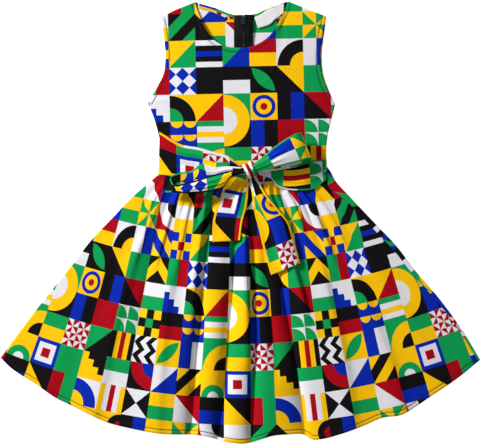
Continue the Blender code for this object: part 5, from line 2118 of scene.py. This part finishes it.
LOOP_LEFT = BowLoop(
    "left",
    "cotton_yellow",
    (
        (7.0, 74.7, 18.0, 4.6, 97.0, 0.3), (-20.0, 74.0, 15.5, 7.0, 97.0, 1.0),
        (-39.0, 69.5, 15.0, 10.5, 96.0, 1.5), (-54.0, 68.0, 15.2, 16.5, 97.0, 2.4),
        (-70.0, 61.5, 15.0, 13.0, 94.0, 1.5), (-90.0, 58.5, 16.5, 13.0, 86.0, 1.0),
        (-104.5, 54.0, 20.0, 11.0, 71.0, 0.5), (-99.0, 50.0, 23.5, 6.5, 78.0, 0.3),
        (-80.0, 49.5, 25.0, 6.8, 88.0, -0.8), (-60.0, 52.5, 25.0, 9.2, 92.0, -2.0),
        (-40.0, 57.0, 24.5, 10.8, 97.0, -2.4), (-25.0, 61.8, 23.8, 9.8, 101.0, -2.0),
        (-15.0, 69.2, 24.0, 4.8, 100.0, -1.0), (7.0, 75.4, 25.8, 4.2, 95.0, -0.3),
    ),
    (
        (-0.05, 0.40, 0.28, 0.30, 1.0, 0.16), (-0.05, -0.30, 0.34, -0.36, 1.0, 0.15),
        (0.66, 0.35, 1.05, 0.30, -1.2, 0.16), (0.62, -0.28, 1.05, -0.30, -1.3, 0.14),
        (0.80, 0.05, 1.05, 0.0, -1.0, 0.12),
    ),
    (253.5, 60.0),
    (119.0, 41.0),
    2.2,
    flap=(0.24, 0.05, 7.0),
)
LOOP_RIGHT = BowLoop(
    "right",
    "cotton_green",
    (
        (17.5, 76.7, 26.3, 5.5, 105.0, -1.0), (39.0, 87.0, 26.5, 10.0, 120.0, -1.5),
        (57.0, 96.5, 28.0, 15.0, 120.0, -2.5), (76.0, 105.0, 28.0, 18.5, 115.0, -2.5),
        (90.5, 110.5, 25.5, 20.0, 112.0, -1.0), (95.0, 110.5, 21.0, 20.5, 112.0, 0.0),
        (89.0, 106.5, 17.0, 20.5, 112.0, 1.0), (71.0, 98.0, 15.5, 18.5, 114.0, 1.5),
        (50.0, 87.0, 15.5, 12.0, 117.0, 1.0), (18.5, 77.0, 17.6, 5.0, 108.0, 0.3),
    ),
    (
        (-0.05, 0.40, 0.34, 0.30, -1.3, 0.15), (-0.05, -0.25, 0.30, -0.38, -1.2, 0.14),
        (-0.05, 0.05, 0.22, 0.0, -1.0, 0.12), (0.70, 0.30, 1.05, 0.20, 1.0, 0.15),
    ),
    (136.5, 205.0),
    (119.0, 197.0),
    2.2,
)


def declare(
    piece: ClothPiece, cut: tuple[float, float, float]
) -> None:
    """Logs a piece's area beside the area that it was cut to.

    Args:
        piece: the piece.
        cut: its width and length when cut, in metres, which are not used, and its area, in square metres.
    """
    width, length, area = cut
    log.info("%s: %.4f of %.4f m2", piece.name, piece.area(), area)


def main() -> None:
    """Builds the dress piece by piece over its solids, then the studio, and reports each piece."""
    logging.basicConfig(level=logging.INFO, format="%(message)s")
    cotton = WaxPrintCotton().build()
    tape = WovenTape().build()
    satin = SatinLabel().build()
    enamel = EnamelledMetal().build()
    thread = TwistedThread().build()
    coil = TwistedThread("zip coil", (0.014, 0.014, 0.015), 0.4).build()
    for node in ("zip_slider", "zip_pull"):
        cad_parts[node].data.materials.clear()
        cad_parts[node].data.materials.append(enamel)

    bodice, skirt, trim, zipper = Bodice(), Skirt(), NeckTrim(), Zip()
    front, back_left, back_right = bodice.front(), bodice.back("left"), bodice.back("right")
    skirt_front, skirt_left, skirt_right = skirt.front(), skirt.back_left(), skirt.back_right()
    below = Relief()
    below.lay(back_left, back_right, skirt_left, skirt_right)
    tapes = [zipper.tape(side, below) for side in ("left", "right")]
    facings = [trim.facing(side) for side in ("left", "right")]
    label = trim.label()
    over = Relief()
    over.lay(front, skirt_front)
    sashes = [SASH_LEFT.build(over), SASH_RIGHT.build(over)]
    over.lay(*sashes)
    tails = [TAIL_LEFT.build(over), TAIL_RIGHT.build(over)]
    over.lay(*tails)
    loops = [LOOP_LEFT.build(over), LOOP_RIGHT.build(over)]
    panels = (front, back_left, back_right, skirt_front, skirt_left, skirt_right)
    for piece in (*panels, *facings, *sashes, *tails, *loops):
        piece.build(cotton)
    for piece in tapes:
        piece.build(tape)
    label.build(satin)
    knot = BowKnot().mesh(cotton)
    top = float(tapes[0].upper[:, :, 2].max())
    teeth = bars("zip_coil_teeth", zipper.teeth(tapes[0].upper[60, 3, 2]), zipper.tooth_radii, coil)
    stops = bars("zip_top_stops", zipper.stops(top), zipper.stop_radii, enamel)

    stitch = Topstitch()
    samples = np.linspace(0, 1, 240)
    neck, arm_left, arm_right = (
        on_surface(front, inset_line(through(edge, samples), stitch.inset, sign))
        for edge, sign in ((FRONT_NECK, -1), (ARMHOLE_LEFT, -1), (ARMHOLE_RIGHT, 1))
    )
    hem = inset_line(through(FRONT_HEM, np.linspace(0, 1, 700)), stitch.hem_inset, 1)
    rows = [
        stitch.mesh("neck_topstitching", [neck], thread),
        stitch.mesh("armhole_topstitching", [arm_left, arm_right], thread),
        stitch.mesh("hem_topstitching", [on_surface(skirt_front, hem)], thread),
    ]
    for made in (knot, teeth, stops, *rows):
        log.info("%s: %d faces", made.name, len(made.data.polygons))

    declare(front, (0.27, 0.26, 0.052))
    declare(back_left, (0.14, 0.25, 0.029))
    declare(back_right, (0.14, 0.25, 0.028))
    declare(skirt_front, (0.90, 0.42, 0.215))
    declare(skirt_left, (0.40, 0.42, 0.096))
    declare(skirt_right, (0.40, 0.42, 0.096))
    for piece, size in zip(facings, ((0.06, 0.01, 0.00035), (0.05, 0.01, 0.0003))):
        declare(piece, size)
    for piece in tapes:
        declare(piece, (0.016, 0.30, 0.0045))
    declare(label, (0.045, 0.024, 0.0009))
    for piece, size in zip(sashes, ((0.13, 0.07, 0.0056), (0.11, 0.05, 0.0034))):
        declare(piece, size)
    for piece, size in zip(tails, ((0.11, 0.06, 0.0045), (0.16, 0.06, 0.0058))):
        declare(piece, size)
    for piece, size in zip(loops, ((0.25, 0.045, 0.0056), (0.26, 0.06, 0.0062))):
        declare(piece, size)
    Studio().build()


if __name__ == "__main__":
    main()
